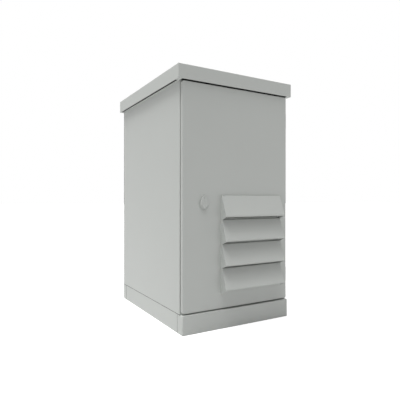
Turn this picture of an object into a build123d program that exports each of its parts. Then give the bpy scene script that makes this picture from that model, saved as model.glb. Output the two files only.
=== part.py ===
from build123d import *
import math
import os

# A climate-controlled outdoor cabinet: a folded-sheet body on a plinth, under a flat hood roof.
# A louvre on the door feeds a finned heat exchanger with two fans, hung on the door's inside.
# Sizes are in millimetres. The origin is on the floor under the plinth's centre, the door faces -Y.

# Overall sizes
BODY_WIDTH = 700.0
BODY_DEPTH = 880.0          # door face to rear face
PLINTH_HEIGHT = 100.0
WALL_HEIGHT = 1204.0        # plinth top to the underside of the top panel
ROOF_SKIRT = 72.0           # top of the roof above the eaves
ROOF_SIDE_OVERHANG = 25.0
ROOF_END_OVERHANG = 15.0
PLINTH_LEDGE = 10.0         # the plinth stands out past the door and past the rear

# Shared sheet and fit sizes
SHEET = 2.0
THIN_SHEET = 1.5
BEND = 4.0                  # outer radius of a fold in SHEET
THIN_BEND = 3.0             # outer radius of a fold in THIN_SHEET
RUN_GAP = 0.06              # radial clearance of a turning pin
SLIDE_GAP = 0.3             # clearance round a sliding or loose-fitting piece
OVERRUN = 5.0               # how far a cut runs past the face that it opens

# Plinth
PLINTH_SHEET = 2.5
PLINTH_CORNER = 5.0
PLINTH_RETURN = 58.0        # how far the front and rear pieces wrap round the corners
TRIM_FLANGE = 30.0
TRIM_JOINT = 0.8            # open joint between a side trim and the corner returns
ANCHOR_HOLE_R = 7.0
ANCHOR_INSET_X = 60.0
ANCHOR_INSET_Y = 32.0

# Body shell and the door frame folded into it
JAMB = 40.0                 # side of the body to the sealing lip
SILL = 50.0                 # plinth top to the lower sealing lip
LINTEL = 42.0               # top panel's upper face down to the upper sealing lip
SEAL_LIP = 10.0             # how far the lips stand forward of the frame face
REAR_FLANGE = 30.0
PAN_FLANGE = 40.0           # upturned and downturned edges of the floor and the top panel
TOP_RIM = 17.0              # the top panel's drip rim past each side
CABLE_HOLE_LENGTH = 300.0
CABLE_HOLE_DEPTH = 140.0
CABLE_HOLE_INSET = 190.0    # cabinet's rear to the middle of the hole
CABLE_PLATE_LAP = 20.0
CABLE_SLOT_LENGTH = 260.0
CABLE_SLOT_WIDTH = 70.0
CABLE_LIP_LAP = 18.0        # rubber lip past the slot
CABLE_LIP = 8.0             # a lip's thickness at its root
CABLE_LIP_EDGE = 2.5        # and at the edge where the two lips meet

# Roof
ROOF_EDGE = 3.0
ROOF_DROP = 4.0             # skirt's lower edge below the eaves
ROOF_RAIL_X = 250.0
ROOF_RAIL_WIDTH = 40.0
ROOF_RAIL_FOOT = 25.0
ROOF_RAIL_END = 60.0        # roof rail's end to the roof's end

# Door
DOOR_DEPTH = 18.0
DOOR_GAP = 5.0              # door's back edge to the frame face
DOOR_FOOT_GAP = 6.0
DOOR_HEAD_GAP = 6.0
DOOR_LOCK_GAP = 5.0         # door's left edge inside the body's left side
DOOR_CORNER = 12.0
DOOR_HEM = 16.0
GASKET_WIDTH = 16.0
STIFFENER_WIDTH = 40.0
STIFFENER_FOOT = 15.0
STIFFENER_DEPTH = 14.0
STIFFENER_LOCK_GAP = 26.0   # barrel's axis to the stiffeners
STIFFENER_EDGE = 65.0       # stiffeners to the door's right edge
STIFFENER_DROP = 110.0      # upper stiffener below the door's top edge
STIFFENER_RISE = 125.0      # lower stiffener above the climate unit

# Door hinges, the lift-off kind with a barrel outside the right side
HINGE_STANDOFF = 8.0
HINGE_BARREL_R = 7.0
HINGE_PIN_R = 4.0
HINGE_KNUCKLE = 40.0
HINGE_SPLIT = 0.5           # between the two knuckles
HINGE_LEAF = 3.0
HINGE_LEAF_REACH = 42.0
HINGE_DOOR_LEAF_REACH = 16.0
HINGE_CAP = 3.0
HINGE_INSET = 140.0         # door's top or bottom edge to a hinge's split

# Louvre on the door
LOUVRE_LEFT = 231.0         # door's left edge to the louvre
LOUVRE_EDGE = 58.0          # louvre to the door's right edge
LOUVRE_RISE = 81.0          # door's bottom edge up to the louvre
LOUVRE_COUNT = 4
LOUVRE_PITCH = 130.0
LOUVRE_REACH = 51.0         # blade tip out from the door's face
LOUVRE_WALL = 17.0          # depth of the cheeks between the blades
LOUVRE_FOOT = 6.5           # cheeks run on below the last bay
LOUVRE_FOOT_FLANGE = 12.0
BLADE_ROOT = 12.0           # shelf at the top of a blade
BLADE_GAP = 14.5            # lip of a blade down to the next blade's top
BLADE_LIP = 8.0
BLADE_RETURN = 10.0
BLADE_FLANGE = 18.0
WINDOW_SIDE = 14.0          # solid door skin left inside each cheek
WINDOW_HEAD = 24.0
WINDOW_FOOT = 8.0

# Lock
LOCK_INSET = 125.0          # door's left edge to the barrel
LOCK_Z = 668.0
LOCK_BARREL_R = 12.0
LOCK_HOUSING_R = 23.0
LOCK_HOUSING = 5.0
LOCK_BARREL_SINK = 1.0
LOCK_KEY_WIDTH = 5.0
LOCK_KEY_LENGTH = 17.0
LOCK_KEY_DEPTH = 6.0
LOCK_BARREL_TAIL = 8.0      # barrel past the door's inside
LOCK_SPINDLE = 6.0          # side of the square spindle behind the barrel
LOCK_LUG_R = 8.0
LOCK_LUG_RISE = 38.0        # barrel axis up to the cover's pivot
COVER_R = 26.0
COVER = 4.0
COVER_GAP = 0.4
PIVOT_R = 4.0
PIVOT_PROUD = 2.0
CASE_WIDTH = 60.0
CASE_HEIGHT = 92.0
CASE_BACK = 5.0             # case wall behind the rods
ROD_WIDTH = 16.0
ROD_THICK = 6.0
ROD_APART = 26.0            # between the two rods' centre lines
ROD_CLEAR = 6.0             # frame's back face to the rods
ROD_TRAVEL = 20.0
ROD_SHY = 8.0               # rod ends short of the lips when unlocked
ROD_TAIL = 34.0             # length of rod inside the case past its centre
ROD_TIP = 4.0
GUIDE_HEIGHT = 24.0
GUIDE_WALL = 6.0
GUIDE_INSET = 90.0          # rod end to its guide

# Climate unit behind the louvre
CASING_SHY_X = 3.0          # casing inside the louvre's outline at each side
CASING_SHY_Z = 8.25         # and at the top and the bottom
CASING_DEPTH = 148.0
CASING_FLANGE = 10.0
FILTER_THICK = 10.0
FAN_PLATE_AT = 14.0         # door skin to the outer fan's plate
FAN_DEPTH = 30.0            # plate face to the back of the struts
FAN_RING_WALL = 2.0
FAN_TIP_GAP = 3.0
FAN_STRUT = 8.0
FAN_STRUT_THICK = 3.0
FAN_STRUT_COUNT = 4
HALF_TURN_SHARE = 0.5       # struts and blades stand half a step off the first corner
FAN_HUB_WALL = 4.0
FAN_HUB_AT = 3.0            # plate's face to the hub's face
FAN_STRUT_GAP = 1.0         # hub's back to the struts
FAN_MOTOR_GAP = 3.0
FAN_SHAFT_R = 4.0
FAN_BLADE = 2.0
FAN_BLADE_COUNT = 6
FAN_PITCH = 30.0            # degrees
FAN_ROOT_SHARE = 0.8        # blade root's radius over the hub's
FAN_CHORD_SHARE = 0.85      # blade's chord over the hub's radius
OUTER_RING_R = 125.0
OUTER_HUB_R = 46.0
INNER_RING_R = 100.0
INNER_HUB_R = 40.0
INNER_PLATE_LAP = 20.0
SINK_SHY_X = 30.0           # fins inside the casing at each side
SINK_SHY_Z = 35.0           # and at the top and the bottom
SINK_BASE = 6.0
SINK_FIN_COUNT = 15
SINK_FIN = 2.0
OUTER_FINS = 26.0
INNER_FINS = 20.0
PARTITION_AT = 82.0         # door skin to the partition
GRILLE_SLOT = 8.0
GRILLE_PITCH = 16.0
GRILLE_COUNT = 5
GRILLE_EDGE = 50.0
GRILLE_INSET = 28.0

# Rack inside the body
UNIT = 44.45
UNIT_HOLES = (6.35, 38.1)    # rises in a unit of a front rail
REAR_UNIT_HOLES = (22.225,)
REAR_UNIT_STEP = 2
RACK_HOLE = 9.5
RACK_HOLE_SPAN = 465.1
RACK_CLEAR = 450.0
RAIL_FACE = 40.0
RAIL_SIDE = 40.0
RAIL_MARGIN = 12.0
RAIL_BOTTOM = 165.0
RACK_GAP = 28.0             # climate unit to the rails' front faces
RACK_REAR_SPACE = 142.0     # rails' rear faces to the cabinet's rear
BEAM_HEIGHT = 40.0
BEAM_END = 24.0             # beam past the rails at each end
BEAM_INSET = 30.0           # rail end to its beam

# Controls on a rail across the front of the rack
DIN_LENGTH = 500.0
DIN_HEIGHT = 35.0
DIN_CHANNEL = 27.0
DIN_DEPTH = 7.5
DIN_SHEET = 1.0
DIN_DROP = 52.0             # below the rails' top end
CONTROL_X = -90.0
CONTROL_WIDTH = 33.0
CONTROL_HEIGHT = 60.0
CONTROL_DEPTH = 40.0
DIAL_R = 13.0
DIAL = 8.0
DIAL_SIDES = 12
DIAL_GRIP = 4.0
DIAL_GRIP_RISE = 4.0
DIAL_SHAFT_R = 3.0
DIAL_SHAFT = 10.0
DIAL_GAP = 0.5
BREAKER_X = -20.0
BREAKER_WIDTH = 18.0
BREAKER_HEIGHT = 84.0
BREAKER_NOSE_HEIGHT = 45.0
BREAKER_DEPTH = 44.0
BREAKER_NOSE = 22.0
BREAKER_SLOT = 7.0
BREAKER_SLOT_HEIGHT = 30.0
LEVER_R = 7.0
LEVER_SIDES = 16
LEVER_PIN_R = 2.0
LEVER_THICK = 4.0
LEVER_REACH = 18.0
LEVER_TILT = 35.0

# Planes and places that follow from the sizes above
HALF_WIDTH = BODY_WIDTH / 2
FRONT = -BODY_DEPTH / 2
REAR = BODY_DEPTH / 2
TOP_UNDER = PLINTH_HEIGHT + WALL_HEIGHT
EAVES = TOP_UNDER + SHEET
ROOF_TOP = EAVES + ROOF_SKIRT
PLINTH_HALF_DEPTH = BODY_DEPTH / 2 + PLINTH_LEDGE
CABLE_HOLE_Y = REAR - CABLE_HOLE_INSET
DOOR_BACK = FRONT + DOOR_DEPTH
DOOR_INSIDE = FRONT + SHEET
DOOR_BOTTOM = PLINTH_HEIGHT + DOOR_FOOT_GAP
DOOR_TOP = EAVES - DOOR_HEAD_GAP
DOOR_LEFT = -HALF_WIDTH + DOOR_LOCK_GAP
FRAME_FACE = DOOR_BACK + DOOR_GAP
FRAME_BACK = FRAME_FACE + SHEET
LIP_TIP = FRAME_FACE - SEAL_LIP
LIP_X = HALF_WIDTH - JAMB           # outer face of a side lip
OPEN_X = LIP_X - SHEET              # clear half width of the doorway
LIP_LOW = PLINTH_HEIGHT + SILL      # underside of the sill's lip
LIP_HIGH = EAVES - LINTEL           # upper face of the lintel's lip
HINGE_X = HALF_WIDTH + HINGE_STANDOFF
HINGE_Y = DOOR_BACK + DOOR_GAP / 2
HINGE_SPLITS = (DOOR_TOP - HINGE_INSET, DOOR_BOTTOM + HINGE_INSET)   # where the knuckles part
LOUVRE_X0 = DOOR_LEFT + LOUVRE_LEFT
LOUVRE_X1 = HALF_WIDTH - LOUVRE_EDGE
LOUVRE_WIDTH = LOUVRE_X1 - LOUVRE_X0
LOUVRE_MID_X = (LOUVRE_X0 + LOUVRE_X1) / 2
LOUVRE_BOTTOM = DOOR_BOTTOM + LOUVRE_RISE
LOUVRE_TOP = LOUVRE_BOTTOM + LOUVRE_FOOT + LOUVRE_COUNT * LOUVRE_PITCH
LOUVRE_MID_Z = (LOUVRE_TOP + LOUVRE_BOTTOM) / 2
BLADE_DROP = LOUVRE_PITCH - BLADE_GAP   # top of a blade to its lip
LOCK_X = DOOR_LEFT + LOCK_INSET
ROD_FRONT = FRAME_BACK + ROD_CLEAR
ROD_BACK = ROD_FRONT + ROD_THICK
CASE_REAR = ROD_BACK + SLIDE_GAP + CASE_BACK
CASING_WIDTH = LOUVRE_WIDTH - 2 * CASING_SHY_X
CASING_HEIGHT = LOUVRE_TOP - LOUVRE_BOTTOM - 2 * CASING_SHY_Z
CASING_X = (LOUVRE_MID_X - CASING_WIDTH / 2, LOUVRE_MID_X + CASING_WIDTH / 2)
CASING_Z = (LOUVRE_MID_Z - CASING_HEIGHT / 2, LOUVRE_MID_Z + CASING_HEIGHT / 2)
SINK_WIDTH = CASING_WIDTH - 2 * SINK_SHY_X
SINK_HEIGHT = CASING_HEIGHT - 2 * SINK_SHY_Z
GRILLE_LENGTH = CASING_WIDTH - 2 * GRILLE_EDGE
CASING_BACK = DOOR_INSIDE + CASING_DEPTH
PARTITION_Y = DOOR_INSIDE + PARTITION_AT
UNIT_COUNT = int((LIP_HIGH - RAIL_BOTTOM - 2 * RAIL_MARGIN) / UNIT)
RAIL_TOP = RAIL_BOTTOM + UNIT * UNIT_COUNT + 2 * RAIL_MARGIN
RACK_FRONT_Y = CASING_BACK + RACK_GAP
RACK_REAR_Y = REAR - RACK_REAR_SPACE
RAIL_OUTER_X = RACK_CLEAR / 2 + RAIL_FACE
DIN_Z = RAIL_TOP - DIN_DROP
DIN_FRONT = RACK_FRONT_Y - DIN_DEPTH - DIN_SHEET


def block(x, y, z):
    """A box between three pairs of limits."""
    limits = (x, y, z)
    middle = [(low + high) / 2 for low, high in limits]
    return Pos(*middle) * Box(*[high - low for low, high in limits])


def about(centre, length):
    """The pair of limits of a length about its centre."""
    return (centre - length / 2, centre + length / 2)


def grown(limits, by):
    """A pair of limits moved apart."""
    return (limits[0] - by, limits[1] + by)


def folded(points, bend, gauge, side):
    """The section of a sheet folded along the line of its outer face."""
    line = FilletPolyline(*points, radius=bend)
    return make_face(offset(line, amount=gauge, side=side, closed=True))


def creased(points, gauge, side):
    """The same with sharp folds, for sheets that are hidden."""
    line = Polyline(*points)
    return make_face(offset(line, amount=gauge, kind=Kind.INTERSECTION, side=side, closed=True))


def along_x(section, limits):
    """A section drawn in Y and Z, carried along X."""
    return extrude(Plane.YZ.offset(limits[0]) * section, amount=limits[1] - limits[0])


def along_y(section, limits):
    """A section drawn in X and Z, carried along Y."""
    return extrude(Plane.XZ.offset(-limits[1]) * section, amount=limits[1] - limits[0])


def along_z(section, limits):
    """A section drawn in X and Y, carried along Z."""
    return extrude(Plane.XY.offset(limits[0]) * section, amount=limits[1] - limits[0])


def rod_y(x, z, radius, limits):
    """A round bar lying along Y."""
    return along_y(Pos(x, z) * Circle(radius), limits)


def rod_z(x, y, radius, limits):
    """A round bar standing along Z."""
    return along_z(Pos(x, y) * Circle(radius), limits)


def across(part):
    """The same piece on the other side of the cabinet's middle."""
    return mirror(part, about=Plane.YZ)


# Plinth: two corner pieces that wrap the corners, and a trim on each side between them

def plinth_end():
    """Front piece: a tray on its side, folded at the corners, with anchor holes in its foot."""
    x = (-HALF_WIDTH, HALF_WIDTH)
    y = (-PLINTH_HALF_DEPTH, -PLINTH_HALF_DEPTH + PLINTH_RETURN)
    shell = block(x, y, (0, PLINTH_HEIGHT))
    corners = shell.edges().filter_by(Axis.Z).group_by(Axis.Y)[0]
    shell = fillet(corners, PLINTH_CORNER)
    inside = block(
        grown(x, -PLINTH_SHEET),
        (y[0] + PLINTH_SHEET, y[1] + OVERRUN),
        (PLINTH_SHEET, PLINTH_HEIGHT - PLINTH_SHEET),
    )
    inner_corners = inside.edges().filter_by(Axis.Z).group_by(Axis.Y)[0]
    shell -= chamfer(inner_corners, PLINTH_CORNER - PLINTH_SHEET)
    for side in (-1, 1):
        anchor_x = side * (HALF_WIDTH - ANCHOR_INSET_X)
        anchor_y = -PLINTH_HALF_DEPTH + ANCHOR_INSET_Y
        shell -= rod_z(anchor_x, anchor_y, ANCHOR_HOLE_R, (-OVERRUN, PLINTH_SHEET + OVERRUN))
    return shell


def plinth_trim():
    """Left side trim: a channel that closes the plinth between the corner pieces."""
    inner = -HALF_WIDTH + TRIM_FLANGE
    section = creased(
        [(inner, 0), (-HALF_WIDTH, 0), (-HALF_WIDTH, PLINTH_HEIGHT), (inner, PLINTH_HEIGHT)],
        SHEET,
        Side.RIGHT,
    )
    reach = PLINTH_HALF_DEPTH - PLINTH_RETURN - TRIM_JOINT
    return along_y(section, (-reach, reach))


# Body shell

def side_panel():
    """Left side: one sheet folded into a jamb with its sealing lip, a wall and a rear flange."""
    rear_face = REAR - SHEET
    section = folded(
        [
            (-LIP_X, FRAME_FACE),
            (-HALF_WIDTH, FRAME_FACE),
            (-HALF_WIDTH, rear_face),
            (-HALF_WIDTH + REAR_FLANGE, rear_face),
        ],
        BEND,
        SHEET,
        Side.RIGHT,
    )
    panel = along_z(section, (PLINTH_HEIGHT, TOP_UNDER))
    return panel + block((-LIP_X, -OPEN_X), (LIP_TIP, FRAME_BACK), (LIP_LOW, LIP_HIGH))


def rear_panel():
    """Flat cover screwed to the rear flanges of both sides."""
    cover = block((-HALF_WIDTH, HALF_WIDTH), (REAR - SHEET, REAR), (PLINTH_HEIGHT, TOP_UNDER))
    rim = cover.faces().sort_by(Axis.Y)[-1].edges()
    return fillet(rim, SHEET / 2)


def floor_panel():
    """Floor pan: sill with its lip in front, upturned edges, and the hole for cables."""
    inner_rear = REAR - 2 * SHEET
    flange_top = PLINTH_HEIGHT + PAN_FLANGE
    lengthways = creased(
        [
            (LIP_TIP, LIP_LOW),
            (FRAME_FACE, LIP_LOW),
            (FRAME_FACE, PLINTH_HEIGHT),
            (inner_rear, PLINTH_HEIGHT),
            (inner_rear, flange_top),
        ],
        SHEET,
        Side.LEFT,
    )
    wall = HALF_WIDTH - SHEET
    crossways = creased(
        [(-wall, flange_top), (-wall, PLINTH_HEIGHT), (wall, PLINTH_HEIGHT), (wall, flange_top)],
        SHEET,
        Side.LEFT,
    )
    pan = along_x(lengthways, (-OPEN_X, OPEN_X))
    pan += along_y(crossways, (FRAME_BACK + BEND, inner_rear - BEND))
    hole = block(
        about(0, CABLE_HOLE_LENGTH),
        about(CABLE_HOLE_Y, CABLE_HOLE_DEPTH),
        (PLINTH_HEIGHT - OVERRUN, PLINTH_HEIGHT + SHEET + OVERRUN),
    )
    return pan - hole


def cable_plate():
    """Plate over the floor's cable hole, with one long slot."""
    z = (PLINTH_HEIGHT + SHEET, PLINTH_HEIGHT + 2 * SHEET)
    x = grown(about(0, CABLE_HOLE_LENGTH), CABLE_PLATE_LAP)
    y = grown(about(CABLE_HOLE_Y, CABLE_HOLE_DEPTH), CABLE_PLATE_LAP)
    slot = block(
        about(0, CABLE_SLOT_LENGTH),
        about(CABLE_HOLE_Y, CABLE_SLOT_WIDTH),
        grown(z, OVERRUN),
    )
    return block(x, y, z) - slot


def cable_lip():
    """Front rubber lip: a wedge on the plate that thins to the slit where the cables pass."""
    seat = PLINTH_HEIGHT + 2 * SHEET
    root = CABLE_HOLE_Y - CABLE_SLOT_WIDTH / 2 - CABLE_LIP_LAP
    edge = CABLE_HOLE_Y - SLIDE_GAP / 2
    wedge = make_face(
        Polyline(
            (root, seat),
            (edge, seat),
            (edge, seat + CABLE_LIP_EDGE),
            (root + CABLE_LIP_LAP, seat + CABLE_LIP),
            (root, seat + CABLE_LIP),
            close=True,
        )
    )
    return along_x(wedge, grown(about(0, CABLE_SLOT_LENGTH), CABLE_LIP_LAP))


def cable_lips():
    """Both lips, facing each other over the slot."""
    lip = cable_lip()
    return Compound(children=[lip, mirror(lip, about=Plane.XZ.offset(-CABLE_HOLE_Y))])


def top_panel():
    """Top sheet with a drip rim past each side, the lintel with its lip, and a rear flange."""
    inner_rear = REAR - 2 * SHEET
    section = creased(
        [
            (LIP_TIP, LIP_HIGH),
            (FRAME_FACE, LIP_HIGH),
            (FRAME_FACE, EAVES),
            (inner_rear, EAVES),
            (inner_rear, EAVES - PAN_FLANGE),
        ],
        SHEET,
        Side.RIGHT,
    )
    rim = HALF_WIDTH + TOP_RIM
    panel = along_x(section, (-OPEN_X, OPEN_X))
    return panel + block((-rim, rim), (FRAME_FACE + BEND, inner_rear - BEND), (TOP_UNDER, EAVES))


def roof_rail():
    """Left roof rail: a hat section that carries the roof clear of the top panel."""
    low, high = EAVES, ROOF_TOP - SHEET
    left, right = about(-ROOF_RAIL_X, ROOF_RAIL_WIDTH)
    section = creased(
        [
            (left - ROOF_RAIL_FOOT, low),
            (left, low),
            (left, high - SHEET),
            (right, high - SHEET),
            (right, low),
            (right + ROOF_RAIL_FOOT, low),
        ],
        SHEET,
        Side.LEFT,
    )
    reach = REAR + ROOF_END_OVERHANG - ROOF_RAIL_END
    return along_y(section, (-reach, reach))


def roof():
    """Hood roof: a flat pan with its skirt turned down."""
    half_x = HALF_WIDTH + ROOF_SIDE_OVERHANG
    half_y = REAR + ROOF_END_OVERHANG
    pan = block((-half_x, half_x), (-half_y, half_y), (EAVES - ROOF_DROP, ROOF_TOP))
    pan = fillet(pan.faces().sort_by(Axis.Z)[-1].edges(), ROOF_EDGE)
    inside = block(
        (-half_x + SHEET, half_x - SHEET),
        (-half_y + SHEET, half_y - SHEET),
        (EAVES - ROOF_DROP - OVERRUN, ROOF_TOP - SHEET),
    )
    return pan - inside


# Door

def louvre_bay_tops():
    """Height of the top of each louvre bay."""
    return [LOUVRE_TOP - i * LOUVRE_PITCH for i in range(LOUVRE_COUNT)]


def door_panel():
    """Door skin: a pan with hemmed edges, a window behind each louvre bay and the lock's hole."""
    x, y, z = (DOOR_LEFT, HALF_WIDTH), (FRONT, DOOR_BACK), (DOOR_BOTTOM, DOOR_TOP)
    pan = block(x, y, z)
    outline = fillet(pan.edges().filter_by(Axis.Y), DOOR_CORNER)
    pan = fillet(pan.faces().sort_by(Axis.Y)[0].edges(), BEND) & outline
    cavity = block(grown(x, -SHEET), (DOOR_INSIDE, DOOR_BACK - SHEET), grown(z, -SHEET))
    cavity = chamfer(cavity.edges().filter_by(Axis.Y), DOOR_CORNER - SHEET)
    back = block(grown(x, -DOOR_HEM), (DOOR_INSIDE, DOOR_BACK + OVERRUN), grown(z, -DOOR_HEM))
    pan = pan - cavity - back
    skin = grown((FRONT, DOOR_INSIDE), OVERRUN)
    window_x = grown((LOUVRE_X0, LOUVRE_X1), -WINDOW_SIDE)
    for top in louvre_bay_tops():
        pan -= block(window_x, skin, (top - LOUVRE_PITCH + WINDOW_FOOT, top - WINDOW_HEAD))
    return pan - rod_y(LOCK_X, LOCK_Z, LOCK_BARREL_R + SLIDE_GAP, skin)


def door_gasket():
    """Foam seal on the door's inside, facing the lips of the frame."""
    ring_x = LIP_X - SHEET / 2
    ring_z = (LIP_LOW + SHEET / 2, LIP_HIGH - SHEET / 2)
    y = (DOOR_INSIDE, LIP_TIP - SLIDE_GAP)
    outer = block(grown((-ring_x, ring_x), GASKET_WIDTH / 2), y, grown(ring_z, GASKET_WIDTH / 2))
    outer = fillet(outer.edges().filter_by(Axis.Y), GASKET_WIDTH)
    inner = block(
        grown((-ring_x, ring_x), -GASKET_WIDTH / 2),
        grown(y, OVERRUN),
        grown(ring_z, -GASKET_WIDTH / 2),
    )
    return outer - inner


def door_stiffener(height):
    """Hat-section rail spot-welded across the door's inside at a height."""
    low, high = about(height, STIFFENER_WIDTH)
    crown = DOOR_INSIDE + STIFFENER_DEPTH - THIN_SHEET
    section = creased(
        [
            (DOOR_INSIDE, low - STIFFENER_FOOT),
            (DOOR_INSIDE, low),
            (crown, low),
            (crown, high),
            (DOOR_INSIDE, high),
            (DOOR_INSIDE, high + STIFFENER_FOOT),
        ],
        THIN_SHEET,
        Side.RIGHT,
    )
    return along_x(section, (LOCK_X + STIFFENER_LOCK_GAP, HALF_WIDTH - STIFFENER_EDGE))


# Hinges: a leaf on the door's edge over a leaf on the side, on one pin

def hinge_leaf(y, z):
    """A leaf flat on the right side, rolled into a knuckle round the hinge line."""
    leaf = block((HALF_WIDTH, HALF_WIDTH + HINGE_LEAF), y, z)
    return leaf + rod_z(HINGE_X, HINGE_Y, HINGE_BARREL_R, z)


def hinge_body_leaf(split):
    """Lower leaf, screwed to the cabinet's side, with a pin standing out of its knuckle."""
    top = split - HINGE_SPLIT / 2
    pin_top = split + HINGE_SPLIT / 2 + HINGE_KNUCKLE - HINGE_CAP - HINGE_SPLIT
    leaf = hinge_leaf((HINGE_Y, HINGE_Y + HINGE_LEAF_REACH), (top - HINGE_KNUCKLE, top))
    return leaf + rod_z(HINGE_X, HINGE_Y, HINGE_PIN_R, (top, pin_top))


def hinge_door_leaf(split):
    """Upper leaf, screwed to the door's edge, with a capped knuckle that drops over the pin."""
    low = split + HINGE_SPLIT / 2
    z = (low, low + HINGE_KNUCKLE)
    bore = rod_z(HINGE_X, HINGE_Y, HINGE_PIN_R + RUN_GAP, (low - OVERRUN, z[1] - HINGE_CAP))
    return hinge_leaf((HINGE_Y - HINGE_DOOR_LEAF_REACH, HINGE_Y), z) - bore


# Louvre: two sawtooth cheeks and a foot, with a row of like blades between the cheeks

def louvre_frame():
    """Cheeks cut to the blades' outline, joined by a folded foot."""
    knee_drop = BLADE_DROP - BLADE_LIP
    run = (LOUVRE_REACH - BLADE_ROOT) / knee_drop
    outline = [(FRONT, LOUVRE_TOP), (FRONT - BLADE_ROOT, LOUVRE_TOP)]
    for bay, top in enumerate(louvre_bay_tops()):
        if bay:
            outline.append((FRONT - LOUVRE_WALL, top - (LOUVRE_WALL - BLADE_ROOT) / run))
        outline += [
            (FRONT - LOUVRE_REACH, top - knee_drop),
            (FRONT - LOUVRE_REACH, top - BLADE_DROP),
            (FRONT - LOUVRE_WALL, top - LOUVRE_PITCH),
        ]
    outline += [(FRONT - LOUVRE_WALL, LOUVRE_BOTTOM), (FRONT, LOUVRE_BOTTOM)]
    cheek = make_face(Polyline(*outline, close=True))
    foot = folded(
        [
            (FRONT - LOUVRE_WALL, LOUVRE_BOTTOM),
            (FRONT, LOUVRE_BOTTOM),
            (FRONT, LOUVRE_BOTTOM + LOUVRE_FOOT_FLANGE),
        ],
        BEND,
        SHEET,
        Side.LEFT,
    )
    frame = along_x(foot, (LOUVRE_X0 + SHEET, LOUVRE_X1 - SHEET))
    frame += along_x(cheek, (LOUVRE_X0, LOUVRE_X0 + SHEET))
    return frame + along_x(cheek, (LOUVRE_X1 - SHEET, LOUVRE_X1))


def louvre_blade(top):
    """One blade: a flange on the door, a shelf, the slope, and a lip turned back under."""
    tip = FRONT - LOUVRE_REACH
    x = (LOUVRE_X0 + SHEET, LOUVRE_X1 - SHEET)
    section = folded(
        [
            (FRONT, top),
            (FRONT - BLADE_ROOT, top),
            (tip, top - BLADE_DROP + BLADE_LIP),
            (tip, top - BLADE_DROP),
            (tip + BLADE_RETURN, top - BLADE_DROP),
        ],
        THIN_BEND,
        THIN_SHEET,
        Side.LEFT,
    )
    flange = block(x, (FRONT - THIN_SHEET, FRONT), (top - BLADE_FLANGE, top))
    return along_x(section, x) + flange


# Lock: a quarter-turn barrel under a hanging cover, driving two rods through a case on the door

def lock_outline(radius):
    """Round plate run up to the lug that carries the cover's pivot."""
    lug = Pos(0, LOCK_LUG_RISE) * Circle(LOCK_LUG_R)
    return make_hull((Circle(radius) + lug).edges())


def lock_housing():
    """Cast plate round the barrel, with the pivot pin that the cover hangs on."""
    face = FRONT - LOCK_HOUSING
    place = Pos(LOCK_X, LOCK_Z)
    pivot_z = LOCK_Z + LOCK_LUG_RISE
    plate = along_y(place * lock_outline(LOCK_HOUSING_R), (face, FRONT))
    plate -= rod_y(LOCK_X, LOCK_Z, LOCK_BARREL_R + RUN_GAP, grown((face, FRONT), OVERRUN))
    return plate + rod_y(LOCK_X, pivot_z, PIVOT_R, (face - COVER_GAP - COVER - PIVOT_PROUD, face))


def lock_cover():
    """Weather cover: round, with a square point at the bottom to lift it by."""
    back = FRONT - LOCK_HOUSING - COVER_GAP
    point = Rot(0, 0, -135) * Rectangle(COVER_R, COVER_R, align=(Align.MIN, Align.MIN))
    outline = lock_outline(COVER_R) + point
    cover = along_y(Pos(LOCK_X, LOCK_Z) * outline, (back - COVER, back))
    pivot_z = LOCK_Z + LOCK_LUG_RISE
    return cover - rod_y(LOCK_X, pivot_z, PIVOT_R + RUN_GAP, grown((back - COVER, back), OVERRUN))


def lock_barrel():
    """Barrel with a key slot in its face and a square spindle through to the back of the case."""
    face = FRONT - LOCK_HOUSING + LOCK_BARREL_SINK
    shoulder = DOOR_INSIDE + LOCK_BARREL_TAIL
    barrel = rod_y(LOCK_X, LOCK_Z, LOCK_BARREL_R, (face, shoulder))
    barrel -= block(
        about(LOCK_X, LOCK_KEY_LENGTH),
        (face - OVERRUN, face + LOCK_KEY_DEPTH),
        about(LOCK_Z, LOCK_KEY_WIDTH),
    )
    return barrel + block(
        about(LOCK_X, LOCK_SPINDLE),
        (shoulder, CASE_REAR),
        about(LOCK_Z, LOCK_SPINDLE),
    )


def rod_x(way):
    """Centre line of the upper rod (way 1) or the lower rod (way -1)."""
    return LOCK_X - way * ROD_APART / 2


def rod_tip(way):
    """Height of the end of a rod when unlocked, short of the frame's lip."""
    if way > 0:
        return LIP_HIGH - SHEET - ROD_SHY
    return LIP_LOW + SHEET + ROD_SHY


def lock_rod(way):
    """Flat rod from inside the case to just short of the frame, with an eased tip."""
    x = about(rod_x(way), ROD_WIDTH)
    z = sorted((LOCK_Z - way * ROD_TAIL, rod_tip(way)))
    rod = block(x, (ROD_FRONT, ROD_BACK), z)
    tip = rod.faces().sort_by(Axis.Z)[-1 if way > 0 else 0]
    return fillet(tip.edges().filter_by(Axis.Y), ROD_TIP)


def rod_slot(way, z):
    """Room round a rod between two heights."""
    x = grown(about(rod_x(way), ROD_WIDTH), SLIDE_GAP)
    return block(x, grown((ROD_FRONT, ROD_BACK), SLIDE_GAP), z)


def lock_case():
    """Gear case on the door's inside: a hollow casting with a slot for each rod and a shaft hole."""
    x, z = about(LOCK_X, CASE_WIDTH), about(LOCK_Z, CASE_HEIGHT)
    case = block(x, (DOOR_INSIDE, CASE_REAR), z)
    inner_x, inner_z = grown(x, -CASE_BACK), grown(z, -CASE_BACK)
    case -= block(inner_x, (DOOR_INSIDE - OVERRUN, CASE_REAR - CASE_BACK), inner_z)
    spindle_r = LOCK_SPINDLE / math.sqrt(2) + RUN_GAP
    case -= rod_y(LOCK_X, LOCK_Z, spindle_r, (DOOR_INSIDE, CASE_REAR + OVERRUN))
    for way in (1, -1):
        case -= rod_slot(way, sorted((LOCK_Z, LOCK_Z + way * CASE_HEIGHT)))
    return case


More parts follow.
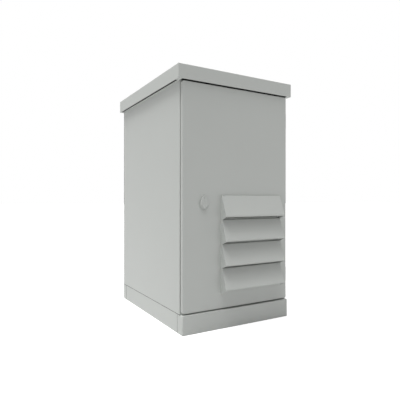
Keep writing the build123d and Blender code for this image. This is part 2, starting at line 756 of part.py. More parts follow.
def rod_guides():
    """Saddles on the door's inside that hold the rods near their ends."""
    guides = []
    for way in (1, -1):
        z = about(rod_tip(way) - way * GUIDE_INSET, GUIDE_HEIGHT)
        side = SLIDE_GAP + GUIDE_WALL
        x = grown(about(rod_x(way), ROD_WIDTH), side)
        saddle = block(x, (DOOR_INSIDE, ROD_BACK + side), z)
        saddle = chamfer(saddle.edges().filter_by(Axis.Z).group_by(Axis.Y)[-1], GUIDE_WALL / 2)
        saddle -= rod_slot(way, grown(z, OVERRUN))
        saddle -= block(
            grown(x, -GUIDE_WALL),
            (DOOR_INSIDE - OVERRUN, ROD_FRONT - side),
            grown(z, OVERRUN),
        )
        guides.append(saddle)
    return Compound(children=guides)


# Climate unit: filter, fan, fins, partition, fins and fan, stacked behind the louvre

def climate_casing():
    """Casing: four walls in one wrap, flanged out against the door."""
    y = (DOOR_INSIDE, CASING_BACK - THIN_SHEET)
    wrap = block(CASING_X, y, CASING_Z)
    lip = block(
        grown(CASING_X, CASING_FLANGE),
        (DOOR_INSIDE, DOOR_INSIDE + THIN_SHEET),
        grown(CASING_Z, CASING_FLANGE),
    )
    inside = block(grown(CASING_X, -THIN_SHEET), grown(y, OVERRUN), grown(CASING_Z, -THIN_SHEET))
    return wrap + lip - inside


def casing_plate(y, gap):
    """A plate that fills the casing from wall to wall, less a gap."""
    side = -THIN_SHEET - gap
    return block(grown(CASING_X, side), y, grown(CASING_Z, side))


def filter_mat():
    """Coarse mat that fills the casing behind the door's windows."""
    return casing_plate((DOOR_INSIDE, DOOR_INSIDE + FILTER_THICK), SLIDE_GAP)


def climate_cover():
    """Cover towards the cabinet: a fan grille in the middle, slots above and below."""
    y = (CASING_BACK - THIN_SHEET, CASING_BACK)
    cover = block(CASING_X, y, CASING_Z)
    middle = []
    count = int(INNER_RING_R / GRILLE_PITCH)
    for i in range(-count, count + 1):
        rise = abs(i) * GRILLE_PITCH + GRILLE_SLOT / 2
        if rise < INNER_RING_R - GRILLE_SLOT:
            middle.append((i * GRILLE_PITCH, 2 * math.sqrt(INNER_RING_R**2 - rise**2) - GRILLE_PITCH))
    half = CASING_HEIGHT / 2 - GRILLE_INSET
    for i in range(GRILLE_COUNT):
        middle += [(half - i * GRILLE_PITCH, GRILLE_LENGTH), (i * GRILLE_PITCH - half, GRILLE_LENGTH)]
    for rise, length in middle:
        slot = Pos(LOUVRE_MID_X, LOUVRE_MID_Z + rise) * Rectangle(length, GRILLE_SLOT)
        cover -= along_y(slot, grown(y, OVERRUN))
    return cover


def climate_partition():
    """Sheet that keeps the outside air and the cabinet's air apart."""
    return casing_plate((PARTITION_Y, PARTITION_Y + SHEET), SLIDE_GAP)


def heat_sink(base_y, fins):
    """Extruded fins standing off the partition; fins below zero point to the door."""
    way = 1 if fins > 0 else -1
    pitch = (SINK_WIDTH - SINK_FIN) / (SINK_FIN_COUNT - 1)
    section = Pos(0, way * SINK_BASE / 2) * Rectangle(SINK_WIDTH, SINK_BASE)
    for i in range(SINK_FIN_COUNT):
        x = -SINK_WIDTH / 2 + SINK_FIN / 2 + i * pitch
        section += Pos(x, way * SINK_BASE + fins / 2) * Rectangle(SINK_FIN, abs(fins))
    return Pos(LOUVRE_MID_X, base_y, 0) * along_z(section, about(LOUVRE_MID_Z, SINK_HEIGHT))


def fan_y(face, way, start, end):
    """Limits along Y of a stretch of a fan, counted from its plate's face."""
    return sorted((face + way * start, face + way * end))


def fan_frame(plate, face, way, ring_r, hub_r):
    """Plate with a square box bored for the impeller, and the motor with its shaft on struts."""
    seat_y = fan_y(face, way, FAN_DEPTH - FAN_STRUT_THICK, FAN_DEPTH)
    box_y = fan_y(face, way, 0, FAN_DEPTH)
    side = 2 * (ring_r + FAN_RING_WALL)
    frame = plate + block(about(LOUVRE_MID_X, side), box_y, about(LOUVRE_MID_Z, side))
    frame -= rod_y(LOUVRE_MID_X, LOUVRE_MID_Z, ring_r, grown(box_y, OVERRUN))
    motor_r = hub_r - FAN_HUB_WALL - FAN_MOTOR_GAP
    motor_at = FAN_HUB_AT + FAN_HUB_WALL + FAN_MOTOR_GAP / 2
    arms = []
    for i in range(FAN_STRUT_COUNT):
        arm = Rectangle(ring_r + FAN_RING_WALL / 2, FAN_STRUT, align=(Align.MIN, Align.CENTER))
        turned = Rot(0, 0, (i + HALF_TURN_SHARE) * 360 / FAN_STRUT_COUNT) * arm
        arms.append(along_y(Pos(LOUVRE_MID_X, LOUVRE_MID_Z) * turned, seat_y))
    frame += arms
    frame += rod_y(LOUVRE_MID_X, LOUVRE_MID_Z, motor_r, fan_y(face, way, motor_at, FAN_DEPTH))
    shaft_y = fan_y(face, way, FAN_HUB_AT, motor_at)
    return frame + rod_y(LOUVRE_MID_X, LOUVRE_MID_Z, FAN_SHAFT_R, shaft_y)


def fan_impeller(face, way, ring_r, hub_r):
    """Cupped hub with a flat for each blade; the blades are plates set at a pitch."""
    depth = FAN_DEPTH - FAN_STRUT_THICK - FAN_STRUT_GAP - FAN_HUB_AT
    flats = RegularPolygon(hub_r, FAN_BLADE_COUNT, major_radius=False)
    hollow = RegularPolygon(hub_r - FAN_HUB_WALL, FAN_BLADE_COUNT, major_radius=False)
    wheel = along_z(flats, about(0, depth))
    cup = along_z(hollow, (FAN_HUB_WALL - depth / 2, depth))
    root, chord = hub_r * FAN_ROOT_SHARE, hub_r * FAN_CHORD_SHARE
    radial = Plane(origin=(root, 0, 0), x_dir=(0, 1, 0), z_dir=(1, 0, 0))
    section = radial * Rot(0, 0, FAN_PITCH) * Rectangle(chord, FAN_BLADE)
    blade = extrude(section, amount=ring_r - FAN_TIP_GAP - root)
    for i in range(FAN_BLADE_COUNT):
        wheel += Rot(0, 0, (i + HALF_TURN_SHARE) * 360 / FAN_BLADE_COUNT) * blade
    wheel = wheel - cup - Cylinder(FAN_SHAFT_R + RUN_GAP, 2 * depth)
    middle = face + way * (FAN_HUB_AT + depth / 2)
    return Location((LOUVRE_MID_X, middle, LOUVRE_MID_Z), (-90 * way, 0, 0)) * wheel


# Rack: four punched rails on beams between the sides

def rack_rail(rises, step):
    """Front right rail: an angle punched with square holes at set rises in every step-th unit."""
    inner = RACK_CLEAR / 2
    section = creased(
        [
            (inner, RACK_FRONT_Y),
            (RAIL_OUTER_X, RACK_FRONT_Y),
            (RAIL_OUTER_X, RACK_FRONT_Y + RAIL_SIDE),
        ],
        SHEET,
        Side.LEFT,
    )
    rail = along_z(section, (RAIL_BOTTOM, RAIL_TOP))
    holes = []
    for unit in range(0, UNIT_COUNT, step):
        for rise in rises:
            z = RAIL_BOTTOM + RAIL_MARGIN + unit * UNIT + rise
            holes.append(
                block(
                    about(RACK_HOLE_SPAN / 2, RACK_HOLE),
                    grown((RACK_FRONT_Y, RACK_FRONT_Y + SHEET), OVERRUN),
                    about(z, RACK_HOLE),
                )
            )
    return rail - holes


def to_rear(part):
    """The same piece turned to the rear end of the rack."""
    return mirror(part, about=Plane.XZ.offset(-(RACK_FRONT_Y + RACK_REAR_Y) / 2))


def rack_beam(low):
    """Right beam: a channel from the cabinet's side to the backs of the rails."""
    wall = HALF_WIDTH - SHEET
    section = creased(
        [
            (wall, low),
            (RAIL_OUTER_X, low),
            (RAIL_OUTER_X, low + BEAM_HEIGHT),
            (wall, low + BEAM_HEIGHT),
        ],
        SHEET,
        Side.RIGHT,
    )
    return along_y(section, grown((RACK_FRONT_Y, RACK_REAR_Y), BEAM_END))


# Controls: a mounting rail across the rack with a temperature control and a circuit breaker

def din_rail():
    """Top-hat rail, its base on the faces of the front rack rails."""
    lip = DIN_FRONT + DIN_SHEET
    half, channel = DIN_HEIGHT / 2, DIN_CHANNEL / 2
    section = creased(
        [
            (lip, DIN_Z - half),
            (lip, DIN_Z - channel),
            (RACK_FRONT_Y, DIN_Z - channel),
            (RACK_FRONT_Y, DIN_Z + channel),
            (lip, DIN_Z + channel),
            (lip, DIN_Z + half),
        ],
        DIN_SHEET,
        Side.LEFT,
    )
    return along_x(section, about(0, DIN_LENGTH))


def climate_control_body():
    """Temperature control: a case with a bore for the dial's shaft."""
    y = (DIN_FRONT - CONTROL_DEPTH, DIN_FRONT)
    case = block(about(CONTROL_X, CONTROL_WIDTH), y, about(DIN_Z, CONTROL_HEIGHT))
    bore_y = (y[0] - OVERRUN, y[0] + DIAL_SHAFT + DIAL_GAP)
    return case - rod_y(CONTROL_X, DIN_Z, DIAL_SHAFT_R + RUN_GAP, bore_y)


def climate_control_dial():
    """Setting dial with a grip bar across its face."""
    back = DIN_FRONT - CONTROL_DEPTH - DIAL_GAP
    face = back - DIAL
    knob = Pos(CONTROL_X, DIN_Z) * RegularPolygon(DIAL_R, DIAL_SIDES)
    dial = along_y(knob, (face, back))
    dial += rod_y(CONTROL_X, DIN_Z, DIAL_SHAFT_R, (back, back + DIAL_SHAFT))
    grip = Rectangle(DIAL_GRIP, 2 * DIAL_R - 2 * DIAL_GRIP)
    return dial + along_y(Pos(CONTROL_X, DIN_Z) * grip, (face - DIAL_GRIP_RISE, face))


def lever_pivot():
    """The lever's pivot as Y and Z."""
    return DIN_FRONT - BREAKER_DEPTH - BREAKER_NOSE + LEVER_R, DIN_Z


def breaker_body():
    """Breaker with a raised nose, slotted for its lever and with the lever's pin across the slot."""
    front = DIN_FRONT - BREAKER_DEPTH
    nose = front - BREAKER_NOSE
    half, nose_half = BREAKER_HEIGHT / 2, BREAKER_NOSE_HEIGHT / 2
    outline = Polyline(
        (DIN_FRONT, DIN_Z - half),
        (front, DIN_Z - half),
        (front, DIN_Z - nose_half),
        (nose, DIN_Z - nose_half),
        (nose, DIN_Z + nose_half),
        (front, DIN_Z + nose_half),
        (front, DIN_Z + half),
        (DIN_FRONT, DIN_Z + half),
        close=True,
    )
    case = along_x(make_face(outline), about(BREAKER_X, BREAKER_WIDTH))
    pivot_y, pivot_z = lever_pivot()
    slot_back = pivot_y + LEVER_R + SLIDE_GAP
    slot_x = about(BREAKER_X, BREAKER_SLOT)
    case -= block(slot_x, (nose - OVERRUN, slot_back), about(DIN_Z, BREAKER_SLOT_HEIGHT))
    return case + along_x(Pos(pivot_y, pivot_z) * Circle(LEVER_PIN_R), grown(slot_x, SHEET))


def breaker_lever():
    """Lever with a round hub in the slot and a handle tilted up to its on position."""
    pivot_y, pivot_z = lever_pivot()
    handle = Rot(0, 0, -LEVER_TILT) * Pos(-LEVER_REACH / 2, 0) * Rectangle(LEVER_REACH, LEVER_THICK)
    outline = RegularPolygon(LEVER_R, LEVER_SIDES) + handle - Circle(LEVER_PIN_R + RUN_GAP)
    return along_x(Pos(pivot_y, pivot_z) * outline, grown(about(BREAKER_X, BREAKER_SLOT), -SLIDE_GAP))


def all_nodes():
    """Every piece of the cabinet under its node's name."""
    end, trim, side = plinth_end(), plinth_trim(), side_panel()
    rail = rack_rail(UNIT_HOLES, 1)
    rear_rail = to_rear(rack_rail(REAR_UNIT_HOLES, REAR_UNIT_STEP))
    low_beam = rack_beam(RAIL_BOTTOM + BEAM_INSET)
    high_beam = rack_beam(RAIL_TOP - BEAM_INSET - BEAM_HEIGHT)
    outer_face = DOOR_INSIDE + FAN_PLATE_AT
    inner_face = CASING_BACK - THIN_SHEET
    outer_plate = casing_plate((outer_face, outer_face + THIN_SHEET), SLIDE_GAP)
    inner_square = about(0, 2 * INNER_RING_R + INNER_PLATE_LAP)
    inner_plate = block(
        (LOUVRE_MID_X + inner_square[0], LOUVRE_MID_X + inner_square[1]),
        (inner_face - THIN_SHEET, inner_face),
        (LOUVRE_MID_Z + inner_square[0], LOUVRE_MID_Z + inner_square[1]),
    )
    nodes = {
        "plinth_front": end,
        "plinth_rear": mirror(end, about=Plane.XZ),
        "plinth_side_left": trim,
        "plinth_side_right": across(trim),
        "side_panel_left": side,
        "side_panel_right": across(side),
        "rear_panel": rear_panel(),
        "floor_panel": floor_panel(),
        "cable_plate": cable_plate(),
        "cable_lips": cable_lips(),
        "top_panel": top_panel(),
        "roof_rail_left": roof_rail(),
        "roof_rail_right": across(roof_rail()),
        "roof": roof(),
        "rack_rail_front_right": rail,
        "rack_rail_front_left": across(rail),
        "rack_rail_rear_right": rear_rail,
        "rack_rail_rear_left": across(rear_rail),
        "rack_beam_lower_right": low_beam,
        "rack_beam_lower_left": across(low_beam),
        "rack_beam_upper_right": high_beam,
        "rack_beam_upper_left": across(high_beam),
        "din_rail": din_rail(),
        "climate_control_body": climate_control_body(),
        "climate_control_dial": climate_control_dial(),
        "breaker_body": breaker_body(),
        "breaker_lever": breaker_lever(),
        "door_panel": door_panel(),
        "door_gasket": door_gasket(),
        "hinge_body_leaves": Compound(children=[hinge_body_leaf(split) for split in HINGE_SPLITS]),
        "hinge_door_leaves": Compound(children=[hinge_door_leaf(split) for split in HINGE_SPLITS]),
        "louvre_frame": louvre_frame(),
        "lock_housing": lock_housing(),
        "lock_cover": lock_cover(),
        "lock_barrel": lock_barrel(),
        "lock_case": lock_case(),
        "lock_rod_upper": lock_rod(1),
        "lock_rod_lower": lock_rod(-1),
        "rod_guides": rod_guides(),
        "filter_mat": filter_mat(),
        "climate_casing": climate_casing(),
        "climate_cover": climate_cover(),
        "climate_partition": climate_partition(),
        "outer_heat_sink": heat_sink(PARTITION_Y, -OUTER_FINS),
        "inner_heat_sink": heat_sink(PARTITION_Y + SHEET, INNER_FINS),
        "outer_fan_frame": fan_frame(outer_plate, outer_face, 1, OUTER_RING_R, OUTER_HUB_R),
        "outer_fan_impeller": fan_impeller(outer_face, 1, OUTER_RING_R, OUTER_HUB_R),
        "inner_fan_frame": fan_frame(inner_plate, inner_face, -1, INNER_RING_R, INNER_HUB_R),
        "inner_fan_impeller": fan_impeller(inner_face, -1, INNER_RING_R, INNER_HUB_R),
    }
    nodes["door_stiffener_upper"] = door_stiffener(DOOR_TOP - STIFFENER_DROP)
    nodes["door_stiffener_lower"] = door_stiffener(CASING_Z[1] + STIFFENER_RISE)
    for number, top in enumerate(louvre_bay_tops(), start=1):
        nodes["louvre_blade_" + str(number)] = louvre_blade(top)
    return nodes


os.makedirs("parts", exist_ok=True)
for node, piece in all_nodes().items():
    export_step(piece, os.path.join("parts", node + ".step"))
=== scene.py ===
import math
import bpy
import numpy as np
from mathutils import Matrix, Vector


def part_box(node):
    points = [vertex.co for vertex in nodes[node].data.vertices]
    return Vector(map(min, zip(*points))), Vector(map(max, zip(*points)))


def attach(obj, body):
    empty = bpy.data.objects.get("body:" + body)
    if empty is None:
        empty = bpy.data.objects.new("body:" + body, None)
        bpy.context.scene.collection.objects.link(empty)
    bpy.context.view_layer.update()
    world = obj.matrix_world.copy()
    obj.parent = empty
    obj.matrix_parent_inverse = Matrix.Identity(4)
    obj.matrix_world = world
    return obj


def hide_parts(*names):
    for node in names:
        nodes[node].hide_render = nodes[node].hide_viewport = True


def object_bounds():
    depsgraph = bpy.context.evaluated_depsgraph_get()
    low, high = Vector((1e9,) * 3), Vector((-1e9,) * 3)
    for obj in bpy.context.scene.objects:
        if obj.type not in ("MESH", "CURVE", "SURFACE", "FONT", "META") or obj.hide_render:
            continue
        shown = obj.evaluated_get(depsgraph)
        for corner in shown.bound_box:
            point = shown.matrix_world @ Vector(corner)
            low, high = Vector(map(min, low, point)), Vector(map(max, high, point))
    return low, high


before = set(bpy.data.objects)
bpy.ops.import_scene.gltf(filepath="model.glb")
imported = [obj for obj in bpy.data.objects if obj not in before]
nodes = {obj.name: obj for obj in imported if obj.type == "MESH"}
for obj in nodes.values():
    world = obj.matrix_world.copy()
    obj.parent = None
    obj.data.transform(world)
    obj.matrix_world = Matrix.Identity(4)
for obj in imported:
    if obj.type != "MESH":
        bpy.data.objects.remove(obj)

cad_box = [list(corner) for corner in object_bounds()]


# Ground, light and camera
# A white studio sweep under a wide lamp high on the left and a weak one in front, seen from half the height.
# The sweep looks white to the eye, and still takes a little of the cabinet's shade on the ground.

scene = bpy.context.scene
scene.view_settings.view_transform = "Standard"


def grid_faces(rows, columns, closed_u=False, closed_v=False):
    """Quads between neighbours of a grid, as indices; a closed direction joins its end back to its start.
    A face's normal is the step along the rows crossed with the step along the columns."""
    row_steps = np.arange(rows - (not closed_u))
    column_steps = np.arange(columns - (not closed_v))
    i, j = np.meshgrid(row_steps, column_steps, indexing="ij")
    up, over = (i + 1) % rows, (j + 1) % columns
    corners = [i * columns + j, up * columns + j, up * columns + over, i * columns + over]
    return np.stack(corners, -1).reshape(-1, 4)


def add_piece(name, points, faces, material, smooth=True):
    """A piece at the origin from an array of points in metres and its faces, with one material."""
    mesh = bpy.data.meshes.new(name)
    mesh.from_pydata(np.asarray(points).reshape(-1, 3).tolist(), [], [list(face) for face in faces])
    mesh.materials.append(material)
    mesh.polygons.foreach_set("use_smooth", np.full(len(mesh.polygons), smooth))
    piece = bpy.data.objects.new(name, mesh)
    scene.collection.objects.link(piece)
    return piece


def new_material(name):
    """A node material with its tree and its Principled shader."""
    material = bpy.data.materials.new(name)
    material.use_nodes = True
    return material, material.node_tree, material.node_tree.nodes["Principled BSDF"]


def seen_directly(tree):
    """One for rays from the eye, off gloss and through glass, and zero for rays that only carry light."""
    path = tree.nodes.new("ShaderNodeLightPath")
    mask = path.outputs["Is Camera Ray"]
    for kind in ("Is Glossy Ray", "Is Transmission Ray"):
        either = tree.nodes.new("ShaderNodeMath")
        either.operation = "MAXIMUM"
        tree.links.new(mask, either.inputs[0])
        tree.links.new(path.outputs[kind], either.inputs[1])
        mask = either.outputs[0]
    return mask


white = (1, 1, 1, 1)
sweep_reach = 60.0
sweep_tone = 0.66
sweep_glow = 0.72
sweep_ends = [-sweep_reach, sweep_reach]
sweep_x, sweep_y = np.meshgrid(sweep_ends, sweep_ends, indexing="ij")
sweep_points = np.stack([sweep_x, sweep_y, np.zeros_like(sweep_x)], -1)
sweep_paint, tree, shader = new_material("sweep_paint")
shader.inputs["Base Color"].default_value = (sweep_tone, sweep_tone, sweep_tone, 1)
shader.inputs["Roughness"].default_value = 1.0
shader.inputs["Specular IOR Level"].default_value = 0.0
glow = tree.nodes.new("ShaderNodeEmission")
share = tree.nodes.new("ShaderNodeMath")
share.operation = "MULTIPLY"
share.inputs[1].default_value = sweep_glow
tree.links.new(seen_directly(tree), share.inputs[0])
tree.links.new(share.outputs[0], glow.inputs["Strength"])
both = tree.nodes.new("ShaderNodeAddShader")
tree.links.new(shader.outputs[0], both.inputs[0])
tree.links.new(glow.outputs[0], both.inputs[1])
tree.links.new(both.outputs[0], tree.nodes["Material Output"].inputs["Surface"])
add_piece("sweep", sweep_points, grid_faces(2, 2), sweep_paint, smooth=False)

room_light = 0.25
studio = bpy.data.worlds.new("studio")
scene.world = studio
studio.use_nodes = True
tree = studio.node_tree
room = tree.nodes["Background"]
room.inputs["Color"].default_value = white
room.inputs["Strength"].default_value = room_light
backdrop = tree.nodes.new("ShaderNodeBackground")
backdrop.inputs["Color"].default_value = white
backdrop.inputs["Strength"].default_value = 1.0
mixed = tree.nodes.new("ShaderNodeMixShader")
tree.links.new(seen_directly(tree), mixed.inputs["Fac"])
tree.links.new(room.outputs[0], mixed.inputs[1])
tree.links.new(backdrop.outputs[0], mixed.inputs[2])
tree.links.new(mixed.outputs[0], tree.nodes["World Output"].inputs["Surface"])


def distant_lamp(name, toward, spread, strength):
    """A lamp far off in a given direction, which looks as many degrees wide as its spread."""
    lamp = bpy.data.lights.new(name, "SUN")
    lamp.energy = strength
    lamp.angle = math.radians(spread)
    holder = bpy.data.objects.new(name, lamp)
    holder.rotation_euler = (-Vector(toward)).to_track_quat("-Z", "Y").to_euler()
    scene.collection.objects.link(holder)


distant_lamp("high_left_lamp", toward=(-0.26, 0.05, 0.97), spread=30.0, strength=2.8)
distant_lamp("high_front_lamp", toward=(-0.05, -0.34, 0.94), spread=30.0, strength=0.6)

view_turn = math.radians(30)    # to the left of the door's normal
view_distance = 2.52725         # from the cabinet's upright axis, along the view
view_aside = 0.010075           # from that axis to the right
eye = bpy.data.cameras.new("eye")
eye.sensor_width = 36.0
eye.lens = 35.0
eye.clip_start = 0.05
viewer = bpy.data.objects.new("eye", eye)
viewer.location = (
    view_aside * math.cos(view_turn) - view_distance * math.sin(view_turn),
    -view_aside * math.sin(view_turn) - view_distance * math.cos(view_turn),
    (cad_box[0][2] + cad_box[1][2]) / 2,
)
viewer.rotation_euler = (math.pi / 2, 0, -view_turn)
scene.collection.objects.link(viewer)
scene.camera = viewer


# Plinth
# Two folded sheet-steel ends that wrap the corners, and two side trims between them, bolted from inside.
# All the outer sheet has the same light grey powder coat: a fine orange-peel skin, faintly varied in tone.

class NodeBench:
    """A shader group under construction: named inputs and outputs, textures in Object coordinates, sums."""

    def __init__(self, name, inputs, outputs):
        self.group = bpy.data.node_groups.new(name, "ShaderNodeTree")
        for label, kind, value in inputs:
            socket = self.group.interface.new_socket(label, in_out="INPUT", socket_type=kind)
            socket.default_value = value
        for label, kind in outputs:
            self.group.interface.new_socket(label, in_out="OUTPUT", socket_type=kind)
        self.inlet = self.group.nodes.new("NodeGroupInput").outputs
        self.outlet = self.group.nodes.new("NodeGroupOutput").inputs
        self.place = self.group.nodes.new("ShaderNodeTexCoord").outputs["Object"]

    def fill(self, socket, value):
        """Puts a number into a socket, or links another socket to it."""
        if isinstance(value, (int, float)):
            socket.default_value = value
        else:
            self.group.links.new(value, socket)

    def sum(self, operation, first, second):
        """One sum of two sockets or numbers."""
        node = self.group.nodes.new("ShaderNodeMath")
        node.operation = operation
        self.fill(node.inputs[0], first)
        self.fill(node.inputs[1], second)
        return node.outputs[0]

    def add(self, first, second):
        """The two values added."""
        return self.sum("ADD", first, second)

    def times(self, first, second):
        """The two values multiplied."""
        return self.sum("MULTIPLY", first, second)

    def centred(self, value):
        """A value between zero and one, moved to lie about zero."""
        return self.sum("SUBTRACT", value, 0.5)

    def stretched(self, x, y, z):
        """Object coordinates scaled along each axis."""
        node = self.group.nodes.new("ShaderNodeMapping")
        node.inputs["Scale"].default_value = (x, y, z)
        self.group.links.new(self.place, node.inputs["Vector"])
        return node.outputs["Vector"]

    def noise(self, scale, detail, where=None):
        """Fractal noise about zero, at so many blotches a metre."""
        node = self.group.nodes.new("ShaderNodeTexNoise")
        self.fill(node.inputs["Scale"], scale)
        node.inputs["Detail"].default_value = detail
        self.group.links.new(where or self.place, node.inputs["Vector"])
        return self.centred(node.outputs["Fac"])

    def cells(self):
        """A pattern of cells, as many a metre as the group's input says."""
        node = self.group.nodes.new("ShaderNodeTexVoronoi")
        self.group.links.new(self.inlet["Cells per metre"], node.inputs["Scale"])
        self.group.links.new(self.place, node.inputs["Vector"])
        return node.outputs

    def shade(self, change):
        """The group's tone made lighter or darker by a small change."""
        node = self.group.nodes.new("ShaderNodeVectorMath")
        node.operation = "SCALE"
        self.group.links.new(self.inlet["Tone"], node.inputs[0])
        self.fill(node.inputs["Scale"], self.add(change, 1.0))
        return node.outputs["Vector"]

    def finish(self, change, gloss, height):
        """Links the shaded tone, the roughness moved by the gloss value, and the relief to the outputs."""
        roughness = self.add(self.inlet["Roughness"], gloss)
        self.group.links.new(self.shade(change), self.outlet["Colour"])
        self.group.links.new(roughness, self.outlet["Roughness"])
        self.group.links.new(height, self.outlet["Height"])
        return self.group


finish_inputs = (
    ("Tone", "NodeSocketColor", (0.5, 0.5, 0.5, 1)),
    ("Drift", "NodeSocketFloat", 0.05),
    ("Cells per metre", "NodeSocketFloat", 500.0),
    ("Roughness", "NodeSocketFloat", 0.5),
)
finish_outputs = (
    ("Colour", "NodeSocketColor"),
    ("Roughness", "NodeSocketFloat"),
    ("Height", "NodeSocketFloat"),
)


def coat_group():
    """Sprayed or moulded skin: slow blotches and fine specks in the tone, and a bumpy peel in the relief."""
    bench = NodeBench("sprayed_coat", finish_inputs, finish_outputs)
    blotch = bench.noise(scale=2.6, detail=5.0)
    speck = bench.noise(scale=1500.0, detail=1.0)
    peel = bench.noise(scale=bench.inlet["Cells per metre"], detail=2.0)
    speck_tone, speck_relief, blotch_gloss = 0.5, 0.2, 0.14
    change = bench.times(bench.add(blotch, bench.times(speck, speck_tone)), bench.inlet["Drift"])
    gloss = bench.times(blotch, blotch_gloss)
    return bench.finish(change, gloss, bench.add(peel, bench.times(speck, speck_relief)))


sprayed_coat = coat_group()


def finished(name, group_tree, tone, drift, cells, roughness, bump, depth=0.0003, metal=0.0):
    """A material whose colour, roughness and relief come from a finish group, with its own values."""
    material, tree, shader = new_material(name)
    group = tree.nodes.new("ShaderNodeGroup")
    group.node_tree = group_tree
    group.inputs["Tone"].default_value = (*tone, 1)
    group.inputs["Drift"].default_value = drift
    group.inputs["Cells per metre"].default_value = cells
    group.inputs["Roughness"].default_value = roughness
    relief = tree.nodes.new("ShaderNodeBump")
    relief.inputs["Strength"].default_value = bump
    relief.inputs["Distance"].default_value = depth
    tree.links.new(group.outputs["Colour"], shader.inputs["Base Color"])
    tree.links.new(group.outputs["Roughness"], shader.inputs["Roughness"])
    tree.links.new(group.outputs["Height"], relief.inputs["Height"])
    tree.links.new(relief.outputs["Normal"], shader.inputs["Normal"])
    shader.inputs["Metallic"].default_value = metal
    return material


weld_reach = 0.00001
ease_steps = 2
sharp_turn = math.radians(40)


def dress(material, edge, *names):
    """Gives CAD nodes a material and, if edge is above zero, eases their sharp edges by it, in metres."""
    for name in names:
        node = nodes[name]
        node.data.materials.clear()
        node.data.materials.append(material)
        if edge > 0:
            weld = node.modifiers.new("weld", "WELD")
            weld.merge_threshold = weld_reach
            ease = node.modifiers.new("ease", "BEVEL")
            ease.width = edge
            ease.segments = ease_steps
            ease.limit_method = "ANGLE"
            ease.angle_limit = sharp_turn


powder_coat = finished(
    "light_grey_powder_coat", sprayed_coat, tone=(0.556, 0.575, 0.553),
    drift=0.06, cells=620.0, roughness=0.5, bump=0.22,
)
dress(powder_coat, 0.0008, "plinth_front", "plinth_rear", "plinth_side_left", "plinth_side_right")


# Body shell
# Two side sheets folded into door jambs, a flat rear cover, a floor pan and a top sheet with drip rims.
# Powder-coated steel; the rear cover is screwed on, and thin dark beads of sealant close the outer joints and
# paint their shade as dark lines.

def millimetres(name):
    """The lowest and the highest corner of a CAD node, in millimetres rounded to a thousandth."""
    return np.round(np.array(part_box(name)) * 1000, 3)


def capped_faces(rows, columns, copies=1):
    """Faces of like closed shapes, each a stack of rings: quads between the rings, and a cap at each end.
    The step from ring to ring crossed with the step along a ring points outward."""
    starts = np.arange(copies)[:, None, None] * rows * columns
    ring = np.arange(columns)
    quads = (grid_faces(rows, columns, closed_v=True) + starts).reshape(-1, 4)
    first_caps = (ring + starts).reshape(-1, columns)
    last_caps = ((rows - 1) * columns + ring[::-1] + starts).reshape(-1, columns)
    return quads.tolist() + first_caps.tolist() + last_caps.tolist()


def fasten(name, places, outward, rows, material, body):
    """Like fastener heads at places in millimetres, all facing outward, as one piece that rides on a body.
    A row is a shape, a radius and a height; rows rise from the seat over the head and down into its socket.
    A hexagon's radius at an angle is half its width over the cosine of the angle from its nearest flat."""
    columns = 24
    shapes, radii, rises = zip(*rows)
    around = -np.arange(columns) * 2 * np.pi / columns
    flats = 1 / np.cos((around + np.pi / 6) % (np.pi / 3) - np.pi / 6)
    is_hexagon = np.array(shapes)[:, None] == "hex"
    radius = np.array(radii)[:, None] * np.where(is_hexagon, flats, 1.0)
    axis = np.asarray(outward, float)
    side = np.cross(axis, np.roll(axis, 1))
    spokes = np.cos(around)[:, None] * side + np.sin(around)[:, None] * np.cross(axis, side)
    head = radius[..., None] * spokes + np.array(rises)[:, None, None] * axis
    points = (np.asarray(places, float)[:, None, None] + head) / 1000
    piece = add_piece(name, points, capped_faces(len(rows), columns, len(places)), material, smooth=False)
    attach(piece, body)


button_head = [
    ("round", 6.4, 0), ("round", 6.4, 1.1), ("round", 5.3, 1.2), ("round", 5.25, 1.9), ("round", 4.7, 3.0),
    ("round", 3.7, 3.8), ("round", 2.7, 4.1), ("hex", 2.0, 4.0), ("hex", 2.0, 2.2), ("round", 0.8, 2.1),
]
screw_steel = finished(
    "plated_screw_steel", sprayed_coat, tone=(0.5, 0.5, 0.49),
    drift=0.15, cells=900.0, roughness=0.34, bump=0.08, metal=1.0,
)
dress(powder_coat, 0.0006, "side_panel_left", "side_panel_right", "rear_panel", "floor_panel", "top_panel")
rear_inset_x, rear_inset_z, rear_inner_share, rear_row_count = 16.0, 22.0, 0.32, 7
rear_low, rear_high = millimetres("rear_panel")
rear_outer, rear_inner = rear_high[0] - rear_inset_x, rear_high[0] * rear_inner_share
rear_rows = np.linspace(rear_low[2] + rear_inset_z, rear_high[2] - rear_inset_z, rear_row_count)
rear_places = [(x, rear_high[1], z) for x in (-rear_outer, rear_outer) for z in rear_rows]
rear_places += [(x, rear_high[1], z) for x in (-rear_inner, rear_inner) for z in rear_rows[[0, -1]]]
fasten("rear_panel_screws", rear_places, (0, 1, 0), button_head, screw_steel, "cabinet")

# Black rubber. On the sealant beads and on the rim edging this black also stands in for the shade in the
# joints and in the gap under the roof skirt.
rubber_and_painted_shade = finished(
    "rubber_and_painted_shade", sprayed_coat, tone=(0.028, 0.028, 0.028),
    drift=0.2, cells=900.0, roughness=0.72, bump=0.3,
)


def sealant_bead(start, end, outward, width, rise=0.6, root=0.4):
    """A bead of sealant laid straight between two places in millimetres, as points in metres: half an ellipse
    across the joint, rooted a little below the sheet's face, which swells and sinks by two sine waves."""
    stations, section_points = 49, 9
    long_swell, long_wave, short_swell, short_wave = 0.08, 23.0, 0.05, 7.3
    start, end, outward = np.array([start, end, outward], float)
    length = np.linalg.norm(end - start)
    way = (end - start) / length
    along = np.linspace(0, length, stations)
    arc = np.linspace(0, np.pi, section_points)
    swell = 1 + long_swell * np.sin(along / long_wave) + short_swell * np.sin(along / short_wave + 1)
    lift = np.outer(swell * (rise + root), np.sin(arc)) - root
    spread = np.outer(swell * width / 2, np.cos(arc))
    middle = start + along[:, None, None] * way
    return (middle + spread[..., None] * np.cross(way, outward) + lift[..., None] * outward) / 1000
